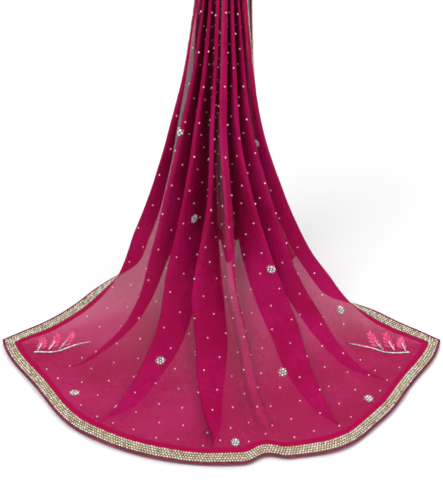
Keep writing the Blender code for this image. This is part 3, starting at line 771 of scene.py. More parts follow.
class Patch:
    """A stretch of the draped cloth, which trims and beads are laid on."""

    COARSE_UNEVENNESS = 0.00060
    FINE_UNEVENNESS = 0.00035
    CREASE_WANDER = 0.004
    OPEN_TO = 0.46
    OPEN_FADE = 0.25

    def __init__(self, stretch: Stretch, drape: Drape, alongs: list) -> None:
        """Solve every row of the stretch, and move its points by the creases.

        Args:
            stretch: which stretch this is.
            drape: the drape's mathematics.
            alongs: the rows' distances along the cloth.
        """
        self.stretch = stretch
        self.alongs = np.array(alongs)
        solved = [drape.solve_row(along) for along in alongs]
        self.columns = np.array([columns for columns, _ in solved])
        self.points = np.array([points for _, points in solved])
        self.normals = self.find_normals(self.points)
        self.points += self.normals * self.relief()[:, :, None]
        self.points[:, :, 2] = np.maximum(self.points[:, :, 2], FLOOR + CLOTH_WALL)
        self.normals = self.find_normals(self.points)

    @staticmethod
    def find_normals(points: np.ndarray) -> np.ndarray:
        """Return the direction out of the cloth's right side at each point.

        Args:
            points: the grid of points, row by row.

        Returns:
            The directions.
        """
        over = np.gradient(points, axis=1)
        up = np.gradient(points, axis=0)
        normals = np.cross(over, up)
        return normals / np.maximum(np.linalg.norm(normals, axis=2), 1e-12)[:, :, None]

    def relief(self) -> np.ndarray:
        """Return how far each point stands off the plain drape, by creases and unevenness.

        Returns:
            The heights, in metres.
        """
        along = self.alongs[:, None] + np.zeros_like(self.columns)
        across = self.columns
        flatness = np.array([self.openness(value) for value in self.alongs])[:, None]
        uneven = (
            self.COARSE_UNEVENNESS * np.sin(across * 61.0 + 2.1 * np.sin(along * 9.0))
            * np.sin(along * 23.0 + 1.7 * np.sin(across * 13.0))
            + self.FINE_UNEVENNESS
            * np.sin(across * 143.0 + along * 37.0 + 2.0 * np.sin(along * 31.0))
        )
        total = uneven * (0.25 + 0.75 * flatness)
        if self.stretch is not Stretch.FRONT:
            return total
        for crease in CREASES:
            run = np.array([crease.along_b - crease.along_a, crease.across_b - crease.across_a])
            length = float(np.hypot(*run))
            way = run / length
            from_a = (along - crease.along_a, across - crease.across_a)
            share = (from_a[0] * way[0] + from_a[1] * way[1]) / length
            aside = from_a[0] * way[1] - from_a[1] * way[0]
            aside += self.CREASE_WANDER * np.sin(share * 7.0 + crease.across_a * 40.0)
            fade = np.clip(np.sin(math.pi * np.clip(share * 0.9 + 0.05, 0.0, 1.0)), 0.0, 1.0)
            total += crease.height * flatness * fade * np.exp(-(aside / crease.half_width) ** 2)
        return total

    @classmethod
    def openness(cls, along: float) -> float:
        """Return 1 where the cloth lies open, falling to 0 where it is bundled."""
        return float(np.clip((cls.OPEN_TO - along) / cls.OPEN_FADE, 0.0, 1.0))

    def cell(self, along: float, across: float) -> tuple:
        """Return the row, the column and the shares past each that a place falls at.

        Args:
            along: the distance from the front hem, in metres.
            across: the distance from the left edge.

        Returns:
            The row, the column, and the shares past them.
        """
        last = len(self.alongs) - 2
        row = int(np.clip(np.searchsorted(self.alongs, along, side="right") - 1, 0, last))
        share = (along - self.alongs[row]) / (self.alongs[row + 1] - self.alongs[row])
        share = float(np.clip(share, 0.0, 1.0))
        columns = self.columns[row] * (1.0 - share) + self.columns[row + 1] * share
        column = int(np.clip(np.searchsorted(columns, across, side="right") - 1, 0,
                             len(columns) - 2))
        over = (across - columns[column]) / max(columns[column + 1] - columns[column], 1e-9)
        return row, column, share, float(np.clip(over, 0.0, 1.0))

    def read(self, along: float, across: float) -> tuple:
        """Return the cloth's point and its outward direction at a place.

        Args:
            along: the distance from the front hem, in metres.
            across: the distance from the left edge.

        Returns:
            The point and the direction.
        """
        row, column, share, over = self.cell(along, across)
        found = []
        for grid in (self.points, self.normals):
            low = grid[row, column] * (1.0 - over) + grid[row, column + 1] * over
            high = grid[row + 1, column] * (1.0 - over) + grid[row + 1, column + 1] * over
            found.append(low * (1.0 - share) + high * share)
        normal = found[1] / max(float(np.linalg.norm(found[1])), 1e-9)
        return found[0], normal

    def lifted(self, along: float, across: float, lift: float) -> np.ndarray:
        """Return a point lifted off the cloth's middle."""
        point, normal = self.read(along, across)
        return point + lift * normal


def set_inputs(node: bpy.types.Node, values: dict) -> None:
    """Set a node's input sockets by name."""
    for name, value in values.items():
        node.inputs[name].default_value = value


class Weave:
    """The shader group for a thread weave, shared by every cloth material."""

    NAME = "thread_weave"
    THREAD_HEIGHT = 0.35
    CRINKLE_SHARE = 0.26
    DRAWN_OUT = (1.0, 0.06, 1.0)

    @classmethod
    def group(cls) -> bpy.types.NodeTree:
        """Return the group, building it the first time.

        Returns:
            The group.
        """
        if cls.NAME in bpy.data.node_groups:
            return bpy.data.node_groups[cls.NAME]
        tree = bpy.data.node_groups.new(cls.NAME, "ShaderNodeTree")
        face = tree.interface
        face.new_socket("Place", in_out="INPUT", socket_type="NodeSocketVector")
        for name, value in (("Threads", 900.0), ("Crinkle", 260.0), ("Cloud", 14.0)):
            socket = face.new_socket(name, in_out="INPUT", socket_type="NodeSocketFloat")
            socket.default_value = value
        face.new_socket("Height", in_out="OUTPUT", socket_type="NodeSocketFloat")
        face.new_socket("Mottle", in_out="OUTPUT", socket_type="NodeSocketFloat")
        nodes = tree.nodes
        links = tree.links
        start = nodes.new("NodeGroupInput")
        end = nodes.new("NodeGroupOutput")
        split = nodes.new("ShaderNodeSeparateXYZ")
        links.new(start.outputs["Place"], split.inputs[0])
        threads = []
        for axis in ("X", "Y"):
            scaled = nodes.new("ShaderNodeMath")
            scaled.operation = "MULTIPLY"
            links.new(split.outputs[axis], scaled.inputs[0])
            links.new(start.outputs["Threads"], scaled.inputs[1])
            wave = nodes.new("ShaderNodeMath")
            wave.operation = "SINE"
            links.new(scaled.outputs[0], wave.inputs[0])
            threads.append(wave)
        crossing = nodes.new("ShaderNodeMath")
        crossing.operation = "MULTIPLY"
        links.new(threads[0].outputs[0], crossing.inputs[0])
        links.new(threads[1].outputs[0], crossing.inputs[1])
        drawn_out = nodes.new("ShaderNodeVectorMath")
        drawn_out.operation = "MULTIPLY"
        drawn_out.inputs[1].default_value = cls.DRAWN_OUT
        links.new(start.outputs["Place"], drawn_out.inputs[0])
        crinkle = nodes.new("ShaderNodeTexNoise")
        crinkle.inputs["Detail"].default_value = 0.6
        links.new(drawn_out.outputs[0], crinkle.inputs["Vector"])
        links.new(start.outputs["Crinkle"], crinkle.inputs["Scale"])
        cloud = nodes.new("ShaderNodeTexNoise")
        cloud.inputs["Detail"].default_value = 4.0
        links.new(start.outputs["Place"], cloud.inputs["Vector"])
        links.new(start.outputs["Cloud"], cloud.inputs["Scale"])
        height = nodes.new("ShaderNodeMath")
        height.operation = "MULTIPLY_ADD"
        height.inputs[1].default_value = cls.THREAD_HEIGHT
        links.new(crossing.outputs[0], height.inputs[0])
        links.new(crinkle.outputs["Fac"], height.inputs[2])
        mottle = nodes.new("ShaderNodeMath")
        mottle.operation = "MULTIPLY_ADD"
        mottle.inputs[1].default_value = cls.CRINKLE_SHARE
        links.new(crinkle.outputs["Fac"], mottle.inputs[0])
        links.new(cloud.outputs["Fac"], mottle.inputs[2])
        links.new(height.outputs[0], end.inputs["Height"])
        links.new(mottle.outputs[0], end.inputs["Mottle"])
        return tree

    @classmethod
    def add(cls, material: bpy.types.Material, place: bpy.types.NodeSocket,
            threads: float, crinkle: float, cloud: float) -> bpy.types.Node:
        """Add the group to a material and return its node.

        Args:
            material: the material that the node goes in.
            place: the socket that gives the place on the cloth.
            threads: the threads' turns for each metre.
            crinkle: how fine the crinkle is.
            cloud: how fine the cloudiness is.

        Returns:
            The node.
        """
        node = material.node_tree.nodes.new("ShaderNodeGroup")
        node.node_tree = cls.group()
        set_inputs(node, {"Threads": threads, "Crinkle": crinkle, "Cloud": cloud})
        material.node_tree.links.new(place, node.inputs["Place"])
        return node


def ramp(material: bpy.types.Material, value: bpy.types.NodeSocket, low: float, high: float,
         to_low: float, to_high: float) -> bpy.types.NodeSocket:
    """Add a smooth step from one value to another and return its output.

    Args:
        material: the material that the node goes in.
        value: the socket that drives the step.
        low: the value at which it starts.
        high: the value at which it ends.
        to_low: what it gives below the start.
        to_high: what it gives past the end.

    Returns:
        The output socket.
    """
    node = material.node_tree.nodes.new("ShaderNodeMapRange")
    node.interpolation_type = "SMOOTHSTEP"
    set_inputs(node, {"From Min": low, "From Max": high, "To Min": to_low, "To Max": to_high})
    material.node_tree.links.new(value, node.inputs["Value"])
    return node.outputs["Result"]


def blend_colours(material: bpy.types.Material, share: bpy.types.NodeSocket,
                  first: tuple, second: tuple,
                  first_socket: Optional[bpy.types.NodeSocket] = None) -> bpy.types.NodeSocket:
    """Add a mix of two colours and return its output; a socket may stand for the first.

    Args:
        material: the material that the node goes in.
        share: the socket that gives the second colour's share.
        first: the first colour.
        second: the second colour.
        first_socket: a socket that stands for the first colour, if there is one.

    Returns:
        The output socket.
    """
    node = material.node_tree.nodes.new("ShaderNodeMix")
    node.data_type = "RGBA"
    node.inputs[6].default_value = (*first, 1.0)
    node.inputs[7].default_value = (*second, 1.0)
    material.node_tree.links.new(share, node.inputs[0])
    if first_socket is not None:
        material.node_tree.links.new(first_socket, node.inputs[6])
    return node.outputs[2]


def add_bump(material: bpy.types.Material, height: bpy.types.NodeSocket,
             strength: float, distance: float) -> None:
    """Feed a height into the shader's normal.

    Args:
        material: the material that the node goes in.
        height: the socket that gives the height.
        strength: how strongly it shows.
        distance: the height of 1, in metres.
    """
    bump = material.node_tree.nodes.new("ShaderNodeBump")
    set_inputs(bump, {"Strength": strength, "Distance": distance})
    material.node_tree.links.new(height, bump.inputs["Height"])
    shader = material.node_tree.nodes["Principled BSDF"]
    material.node_tree.links.new(bump.outputs["Normal"], shader.inputs["Normal"])


def start_material(name: str, constants: dict) -> bpy.types.Material:
    """Return a new material whose shader has the constant values given.

    Args:
        name: its name.
        constants: the shader's constants, by socket.

    Returns:
        The material.
    """
    material = bpy.data.materials.new(name)
    material.use_nodes = True
    set_inputs(material.node_tree.nodes["Principled BSDF"], constants)
    return material


def attribute_node(material: bpy.types.Material, name: str) -> bpy.types.Node:
    """Add a node that reads one of the mesh's attributes.

    Args:
        material: the material that the node goes in.
        name: the attribute's name.

    Returns:
        The node.
    """
    node = material.node_tree.nodes.new("ShaderNodeAttribute")
    node.attribute_name = name
    return node


@dataclass(frozen=True)
class SheerFinish:
    """Sheer georgette: see-through, denser in its turned hem."""

    name: str = "sheer_georgette"
    colour: tuple = (0.380, 0.0010, 0.066)
    light_colour: tuple = (0.500, 0.0060, 0.125)
    hem_colour: tuple = (0.350, 0.0008, 0.055)
    thin: float = 0.648
    dense: float = 0.985

    def make(self) -> bpy.types.Material:
        """Return the material.

        Returns:
            The material.
        """
        material = start_material(self.name, {
            "Roughness": 0.72,
            "Sheen Weight": 0.05,
            "Sheen Roughness": 0.45,
            "Sheen Tint": (1.0, 0.12, 0.40, 1.0),
            "Specular IOR Level": 0.06,
        })
        links = material.node_tree.links
        shader = material.node_tree.nodes["Principled BSDF"]
        place = attribute_node(material, "flat")
        weave = Weave.add(material, place.outputs["Vector"], 2600.0, 130.0, 9.0)
        split = material.node_tree.nodes.new("ShaderNodeSeparateXYZ")
        links.new(place.outputs["Vector"], split.inputs[0])
        in_hem = ramp(material, split.outputs["Z"], TURNED_HEM - 0.0008, TURNED_HEM + 0.0008,
                      1.0, 0.0)
        mottle = ramp(material, weave.outputs["Mottle"], 0.42, 0.92, 0.0, 1.0)
        open_colour = blend_colours(material, mottle, self.colour, self.light_colour)
        colour = blend_colours(material, in_hem, self.colour, self.hem_colour, open_colour)
        links.new(colour, shader.inputs["Base Color"])
        sheerness = ramp(material, weave.outputs["Mottle"], 0.40, 0.95, self.thin + 0.010,
                         self.thin - 0.010)
        alpha = material.node_tree.nodes.new("ShaderNodeMath")
        alpha.operation = "MAXIMUM"
        dense = ramp(material, split.outputs["Z"], TURNED_HEM - 0.0008, TURNED_HEM + 0.0008,
                     self.dense, 0.0)
        links.new(sheerness, alpha.inputs[0])
        links.new(dense, alpha.inputs[1])
        links.new(alpha.outputs[0], shader.inputs["Alpha"])
        add_bump(material, weave.outputs["Height"], 0.35, 0.0004)
        return material


@dataclass(frozen=True)
class MetalFinish:
    """Metal sequins or thread: each grain has a tint of its own."""

    name: str
    pale: tuple
    deep: tuple
    roughness: float
    metallic: float

    def make(self) -> bpy.types.Material:
        """Return the material.

        Returns:
            The material.
        """
        material = start_material(self.name, {"Metallic": self.metallic})
        links = material.node_tree.links
        shader = material.node_tree.nodes["Principled BSDF"]
        tint = attribute_node(material, "tint")
        links.new(blend_colours(material, tint.outputs["Fac"], self.deep, self.pale),
                  shader.inputs["Base Color"])
        places = material.node_tree.nodes.new("ShaderNodeTexCoord")
        scratches = material.node_tree.nodes.new("ShaderNodeTexNoise")
        set_inputs(scratches, {"Scale": 900.0, "Detail": 2.0})
        links.new(places.outputs["Object"], scratches.inputs["Vector"])
        rough = ramp(material, scratches.outputs["Fac"], 0.3, 0.7, self.roughness,
                     self.roughness + 0.22)
        links.new(rough, shader.inputs["Roughness"])
        add_bump(material, scratches.outputs["Fac"], 0.2, 0.0002)
        return material


@dataclass(frozen=True)
class ThreadFinish:
    """Dense thread or ribbon: colour, weave scale and sheen."""

    name: str
    colour: tuple
    light_colour: tuple
    threads: float
    roughness: float
    metallic: float = 0.0
    sheen: float = 0.3
    bump: float = 0.6

    def make(self) -> bpy.types.Material:
        """Return the material.

        Returns:
            The material.
        """
        material = start_material(self.name, {
            "Roughness": self.roughness,
            "Metallic": self.metallic,
            "Sheen Weight": self.sheen,
            "Sheen Tint": (*self.light_colour, 1.0),
        })
        links = material.node_tree.links
        shader = material.node_tree.nodes["Principled BSDF"]
        place = attribute_node(material, "flat")
        weave = Weave.add(material, place.outputs["Vector"], self.threads, 700.0, 60.0)
        share = ramp(material, weave.outputs["Mottle"], 0.45, 0.90, 0.0, 1.0)
        links.new(blend_colours(material, share, self.colour, self.light_colour),
                  shader.inputs["Base Color"])
        add_bump(material, weave.outputs["Height"], self.bump, 0.0006)
        return material


GEORGETTE = SheerFinish()
SEQUIN_METAL = MetalFinish("sequin_metal", (1.00, 0.98, 0.90), (0.74, 0.60, 0.38), 0.24, 0.30)
CRYSTAL = MetalFinish("silver_crystal", (1.00, 1.00, 0.98), (0.42, 0.48, 0.45), 0.16, 0.60)
PEARL = MetalFinish("pearl_stud", (1.00, 0.90, 0.88), (0.84, 0.50, 0.34), 0.24, 0.30)
RIBBON = ThreadFinish("zari_ribbon", (0.150, 0.085, 0.040), (0.340, 0.240, 0.120), 3600.0, 0.42,
                      0.35, 0.1)
PIPING = ThreadFinish("satin_piping", (0.120, 0.002, 0.030), (0.270, 0.004, 0.070), 2400.0, 0.55,
                      0.0, 0.1)
PLUME = ThreadFinish("plume_thread", (0.640, 0.030, 0.150), (0.900, 0.120, 0.300), 3000.0, 0.40,
                     0.0, 0.5, 0.9)


class Maker:
    """Makes meshes and materials, and puts the finished pieces in the scene."""

    def __init__(self) -> None:
        """Start with no materials."""
        self.materials: dict = {}

    def material(self, finish: object) -> bpy.types.Material:
        """Return a finish's material, made once.

        Args:
            finish: the finish.

        Returns:
            The material.
        """
        if finish.name not in self.materials:
            self.materials[finish.name] = finish.make()
        return self.materials[finish.name]

    def piece(self, name: str, points: list, faces: list, finish: object,
              flat: Optional[list] = None, wall: float = 0.0) -> bpy.types.Object:
        """Make a piece from points and faces.

        Args:
            name: the piece's name.
            points: its corners, in metres.
            faces: its faces.
            finish: what it is finished in.
            flat: for each corner, its place across, along and from the edge of the cloth.
            wall: the thickness given to an open surface, 0 for none.

        Returns:
            The piece.
        """
        mesh = bpy.data.meshes.new(name)
        mesh.from_pydata([tuple(point) for point in points], [], faces)
        mesh.materials.append(self.material(finish))
        mesh.shade_smooth()
        if flat is not None:
            attribute = mesh.attributes.new("flat", "FLOAT_VECTOR", "POINT")
            attribute.data.foreach_set("vector", np.array(flat, dtype=np.float32).ravel())
        piece = bpy.data.objects.new(name, mesh)
        bpy.context.scene.collection.objects.link(piece)
        if wall:
            shell = piece.modifiers.new("wall", "SOLIDIFY")
            shell.thickness = wall
            shell.offset = 0.0
        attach(piece, "root")
        LOG.info("%s: %d corners", name, len(points))
        return piece


def grid_faces(rows: int, columns: int) -> list:
    """Return the faces of a grid of corners, row by row.

    Args:
        rows: the grid's rows.
        columns: its columns.

    Returns:
        The faces, as four corners each.
    """
    faces = []
    for row in range(rows - 1):
        for column in range(columns - 1):
            first = row * columns + column
            faces.append((first, first + 1, first + columns + 1, first + columns))
    return faces


class Scatter:
    """Sets one small solid at each of many points, by geometry nodes."""

    def __init__(self, grain: Grain, radius: float, spread: float, seed: int) -> None:
        """Build the node tree.

        Args:
            grain: the small solid.
            radius: its radius, in metres.
            spread: the most that a grain tips, in radians.
            seed: the seed of its random tips and tints.
        """
        self.grain = grain
        self.radius = radius
        self.spread = spread
        self.seed = seed
        self.tree, self.sockets = self.build_tree()

    def build_tree(self) -> tuple:
        """Return the tree, and its named inputs' identifiers.

        Returns:
            The tree, and a table from input name to identifier.
        """
        tree = bpy.data.node_groups.new("scatter_" + self.grain.value, "GeometryNodeTree")
        face = tree.interface
        face.new_socket("Geometry", in_out="INPUT", socket_type="NodeSocketGeometry")
        kinds = (
            ("Radius", "NodeSocketFloat"),
            ("Tip", "NodeSocketFloat"),
            ("Seed", "NodeSocketInt"),
            ("Finish", "NodeSocketMaterial"),
        )
        sockets = {
            name: face.new_socket(name, in_out="INPUT", socket_type=kind).identifier
            for name, kind in kinds
        }
        face.new_socket("Geometry", in_out="OUTPUT", socket_type="NodeSocketGeometry")
        nodes = tree.nodes
        links = tree.links
        start = nodes.new("NodeGroupInput")
        end = nodes.new("NodeGroupOutput")
        if self.grain is Grain.DISC:
            shape = nodes.new("GeometryNodeMeshCone")
            set_inputs(shape, {"Vertices": 7, "Radius Top": 0.0})
            links.new(start.outputs["Radius"], shape.inputs["Radius Bottom"])
            flatten = nodes.new("ShaderNodeMath")
            flatten.operation = "MULTIPLY"
            flatten.inputs[1].default_value = 0.35
            links.new(start.outputs["Radius"], flatten.inputs[0])
            links.new(flatten.outputs[0], shape.inputs["Depth"])
        else:
            shape = nodes.new("GeometryNodeMeshUVSphere")
            set_inputs(shape, {"Segments": 8, "Rings": 5})
            links.new(start.outputs["Radius"], shape.inputs["Radius"])
        way = nodes.new("GeometryNodeInputNamedAttribute")
        way.data_type = "FLOAT_VECTOR"
        way.inputs["Name"].default_value = "way"
        align = nodes.new("FunctionNodeAlignRotationToVector")
        align.axis = "Z"
        links.new(way.outputs["Attribute"], align.inputs["Vector"])
        negative = nodes.new("ShaderNodeMath")
        negative.operation = "MULTIPLY"
        negative.inputs[1].default_value = -1.0
        links.new(start.outputs["Tip"], negative.inputs[0])
        tip = nodes.new("FunctionNodeRandomValue")
        tip.data_type = "FLOAT_VECTOR"
        links.new(negative.outputs[0], tip.inputs["Min"])
        links.new(start.outputs["Tip"], tip.inputs["Max"])
        links.new(start.outputs["Seed"], tip.inputs["Seed"])
        euler = nodes.new("FunctionNodeEulerToRotation")
        links.new(tip.outputs["Value"], euler.inputs[0])
        turned = nodes.new("FunctionNodeRotateRotation")
        turned.rotation_space = "LOCAL"
        links.new(align.outputs["Rotation"], turned.inputs["Rotation"])
        links.new(euler.outputs[0], turned.inputs["Rotate By"])
        place = nodes.new("GeometryNodeInstanceOnPoints")
        links.new(start.outputs["Geometry"], place.inputs["Points"])
        links.new(shape.outputs["Mesh"], place.inputs["Instance"])
        links.new(turned.outputs["Rotation"], place.inputs["Rotation"])
        size = nodes.new("GeometryNodeInputNamedAttribute")
        size.data_type = "FLOAT"
        size.inputs["Name"].default_value = "size"
        links.new(size.outputs["Attribute"], place.inputs["Scale"])
        tint = nodes.new("FunctionNodeRandomValue")
        tint.data_type = "FLOAT"
        links.new(start.outputs["Seed"], tint.inputs["Seed"])
        store = nodes.new("GeometryNodeStoreNamedAttribute")
        store.data_type = "FLOAT"
        store.domain = "INSTANCE"
        store.inputs["Name"].default_value = "tint"
        links.new(place.outputs["Instances"], store.inputs["Geometry"])
        value = [socket for socket in tint.outputs if socket.enabled][0]
        links.new(value, store.inputs["Value"])
        real = nodes.new("GeometryNodeRealizeInstances")
        links.new(store.outputs["Geometry"], real.inputs["Geometry"])
        dress = nodes.new("GeometryNodeSetMaterial")
        links.new(real.outputs["Geometry"], dress.inputs["Geometry"])
        links.new(start.outputs["Finish"], dress.inputs["Material"])
        links.new(dress.outputs["Geometry"], end.inputs["Geometry"])
        return tree, sockets

    def make(self, maker: Maker, name: str, points: list, ways: list,
             finish: object, sizes: Optional[list] = None) -> bpy.types.Object:
        """Scatter the grains and return them as one plain piece.

        Args:
            maker: makes the material.
            name: the piece's name.
            points: where the grains sit.
            ways: the direction each one faces.
            finish: what they are finished in.
            sizes: how many times the common radius each one has, where they differ.

        Returns:
            The piece.
        """
        seats = bpy.data.meshes.new(name + "_seats")
        seats.from_pydata([tuple(point) for point in points], [], [])
        attribute = seats.attributes.new("way", "FLOAT_VECTOR", "POINT")
        attribute.data.foreach_set("vector", np.array(ways, dtype=np.float32).ravel())
        scales = seats.attributes.new("size", "FLOAT", "POINT")
        scales.data.foreach_set("value", np.array(sizes or [1.0] * len(points), dtype=np.float32))
        holder = bpy.data.objects.new(name + "_seats", seats)
        bpy.context.scene.collection.objects.link(holder)
        spread = holder.modifiers.new("scatter", "NODES")
        spread.node_group = self.tree
        material = maker.material(finish)
        spread[self.sockets["Radius"]] = self.radius
        spread[self.sockets["Tip"]] = self.spread
        spread[self.sockets["Seed"]] = self.seed
        spread[self.sockets["Finish"]] = material
        graph = bpy.context.evaluated_depsgraph_get()
        mesh = bpy.data.meshes.new_from_object(holder.evaluated_get(graph))
        holder.modifiers.clear()
        bpy.data.objects.remove(holder, do_unlink=True)
        mesh.name = name
        mesh.shade_smooth()
        piece = bpy.data.objects.new(name, mesh)
        bpy.context.scene.collection.objects.link(piece)
        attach(piece, "root")
        LOG.info("%s: %d grains", name, len(points))
        return piece


class EdgePlace(NamedTuple):
    """A place on the cloth's edge, and the way inwards from it."""

    along: float
    across: float
    in_along: float
    in_across: float


@dataclass
class EdgePath:
    """The run of a stretch's outer edges, mitred where a hem meets a side."""

    patch: Patch

    def side(self, left: bool, alongs: list) -> list:
        """Return the places along one side edge.

        Args:
            left: whether it is the left edge.
            alongs: the distances along the cloth.

        Returns:
            The places.
        """
        across = 0.0 if left else CUT_WIDTH
        inward = 1.0 if left else -1.0
        return [EdgePlace(along, across, 0.0, inward) for along in alongs]

    def hem(self, along: float, inward: float) -> list:
        """Return the places along a hem, its two mitred corners included.

        Args:
            along: the hem's distance along the cloth.
            inward: 1 where the cloth lies further along, -1 where nearer.

        Returns:
            The places.
        """
        row = 0 if inward > 0 else len(self.patch.alongs) - 1
        columns = self.patch.columns[row]
        inner = [across for across in columns if MITRE_ROOM < across < CUT_WIDTH - MITRE_ROOM]
        places = [EdgePlace(along, 0.0, inward, 1.0)]
        places += [EdgePlace(along, across, inward, 0.0) for across in inner]
        places.append(EdgePlace(along, CUT_WIDTH, inward, -1.0))
        return places

    def runs(self) -> dict:
        """Return the stretch's runs of edge, by the ending of the node that each replaces.

        Returns:
            The runs, each a list of places.
        """
        alongs = [float(along) for along in self.patch.alongs]
        if self.patch.stretch is Stretch.FRONT:
            sides = [along for along in alongs if along > MITRE_ROOM]
            down = self.side(True, sides[::-1])
            return {"": down + self.hem(0.0, 1.0) + self.side(False, sides)}
        if self.patch.stretch is Stretch.BACK:
            sides = [along for along in alongs if along < BACK_HEM - MITRE_ROOM]
            down = self.side(True, sides)
            return {"": down + self.hem(BACK_HEM, -1.0) + self.side(False, sides[::-1])}
        return {"_left": self.side(True, alongs), "_right": self.side(False, alongs)}

    def at(self, place: EdgePlace, inset: float, lift: float) -> tuple:
        """Return the point and outward direction at an inset from the edge.

        Args:
            place: the place on the edge.
            inset: how far in from the edge.
            lift: how far out from the cloth.

        Returns:
            The point, its direction, and its place across, along and in.
        """
        along = place.along + inset * place.in_along
        across = place.across + inset * place.in_across
        point, normal = self.patch.read(along, across)
        return point + lift * normal, normal, (across, along, inset)


@dataclass
class SheerCloth:
    """The georgette, one thin shell on the whole drape."""

    patches: tuple

    def build(self, maker: Maker) -> bpy.types.Object:
        """Make the cloth and return it.

        Args:
            maker: makes the meshes and the materials.

        Returns:
            The cloth.
        """
        alongs = np.concatenate([patch.alongs for patch in self.patches])
        columns = np.concatenate([patch.columns for patch in self.patches])
        points = np.concatenate([patch.points for patch in self.patches])
        rows, column_count = columns.shape
        flat = []
        for along, row in zip(alongs, columns):
            for across in row:
                edge = min(across, CUT_WIDTH - across, along, BACK_HEM - along)
                flat.append((across, along, edge))
        piece = maker.piece("georgette", points.reshape(-1, 3), grid_faces(rows, column_count),
                            GEORGETTE, flat, CLOTH_WALL)
        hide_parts("cloth_front", "cloth_crown", "cloth_back")
        return piece


@dataclass
class SequinBorder:
    """The border: a dark gold ribbon, close set with staggered rows of sequins."""

    path: EdgePath
    rows: tuple = (0.0054, 0.0089, 0.0125, 0.0160)
    pitch: float = 0.0040
    sequin_radius: float = 0.0020
    ribbon_wall: float = 0.0004
    ribbon_lift: float = 0.0006
    sequin_lift: float = 0.0012

    def build(self, maker: Maker, scatter: Scatter) -> list:
        """Make the ribbons and their sequins and return them.

        Args:
            maker: makes the meshes and the materials.
            scatter: sets the grains.

        Returns:
            The ribbons and the sequins.
        """
        made = []
        stretch = self.path.patch.stretch.value
        insets = np.linspace(BORDER_INSET, BORDER_EDGE, 6)
        for ending, run in self.path.runs().items():
            node = f"border_{stretch}{ending}"
            points = []
            flat = []
            for place in run:
                for inset in insets:
                    point, _, where = self.path.at(place, inset, self.ribbon_lift)
                    points.append(point)
                    flat.append(where)
            faces = grid_faces(len(run), len(insets))
            ribbon = maker.piece("ribbon_" + node, points, faces, RIBBON, flat,
                                 self.ribbon_wall)
            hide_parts(node)
            points, ways = self.sequin_seats(run)
            sequins = scatter.make(maker, "sequins_" + node, points, ways, SEQUIN_METAL)
            made += [ribbon, sequins]
        return made

    def sequin_seats(self, run: list) -> tuple:
        """Return the sequins' seats and directions, in staggered rows along a run.

        Args:
            run: the places along the edge.

        Returns:
            The seats and the directions.
        """
        table = np.array(run)
        middle = (self.rows[0] + self.rows[-1]) / 2
        line = np.array([self.path.at(place, middle, 0.0)[0] for place in run])
        steps = np.linalg.norm(np.diff(line, axis=0), axis=1)
        travelled = np.concatenate(([0.0], np.cumsum(steps)))
        points = []
        ways = []
        for index, inset in enumerate(self.rows):
            begin = self.pitch * (0.5 + 0.5 * (index % 2))
            for distance in np.arange(begin, travelled[-1], self.pitch):
                place = EdgePlace(*[np.interp(distance, travelled, column)
                                    for column in table.T])
                point, normal, _ = self.path.at(place, inset, self.sequin_lift)
                points.append(point)
                ways.append(normal)
        return points, ways


@dataclass
class SatinPiping:
    """The half-round piping outside the border."""

    path: EdgePath
    insets: tuple = (0.0000, 0.0003, 0.0010, 0.0018, 0.0025, PIPING_WIDTH)
    lifts: tuple = (0.0002, 0.0009, 0.0014, 0.0014, 0.0009, 0.0003)
    wall: float = 0.0003

    def build(self, maker: Maker) -> list:
        """Make the piping and return it.

        Args:
            maker: makes the meshes and the materials.

        Returns:
            The pieces of piping.
        """
        made = []
        for ending, run in self.path.runs().items():
            node = f"piping_{self.path.patch.stretch.value}{ending}"
            points = []
            flat = []
            for place in run:
                for inset, lift in zip(self.insets, self.lifts):
                    point, _, where = self.path.at(place, inset, lift)
                    points.append(point)
                    flat.append(where)
            faces = grid_faces(len(run), len(self.insets))
            piece = maker.piece("satin_" + node, points, faces, PIPING, flat, self.wall)
            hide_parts(node)
            made.append(piece)
        return made


@dataclass
class BeadField:
    """Pearl studs in a staggered lattice over the cloth."""

    patch: Patch
    across_pitch: float = 0.037
    along_pitch: float = 0.027
    radius: float = 0.0013
    clear_of_edge: float = 0.034
    wander: float = 0.003
    sunk: float = 0.7
    avoid: tuple = ()

    def build(self, maker: Maker, scatter: Scatter) -> bpy.types.Object:
        """Make the studs and return them.

        Args:
            maker: makes the meshes and the materials.
            scatter: sets the grains.

        Returns:
            The studs, as one piece.
        """
        points = []
        ways = []
        first = float(self.patch.alongs[0])
        last = float(self.patch.alongs[-1])
        rows = np.arange(self.clear_of_edge, BACK_HEM - self.clear_of_edge, self.along_pitch)
        for index, along in enumerate(rows):
            if not first < along < last:
                continue
            begin = self.clear_of_edge + (index % 2) * self.across_pitch / 2
            for across in np.arange(begin, CUT_WIDTH - self.clear_of_edge, self.across_pitch):
                if self.taken(along, across):
                    continue
                wander = self.wander * math.sin(across * 91.0 + along * 57.0)
                point, normal = self.patch.read(along + wander, across - wander)
                points.append(point + normal * self.radius * self.sunk)
                ways.append(normal)
        name = "studs_" + self.patch.stretch.value
        piece = scatter.make(maker, name, points, ways, PEARL)
        return piece

    def taken(self, along: float, across: float) -> bool:
        """Return whether a motif lies at a place.

        Args:
            along: the distance from the front hem, in metres.
            across: the distance from the left edge.

        Returns:
            Whether the place is taken.
        """
        return any(
            low_along < along < high_along and low_across < across < high_across
            for low_along, high_along, low_across, high_across in self.avoid
        )


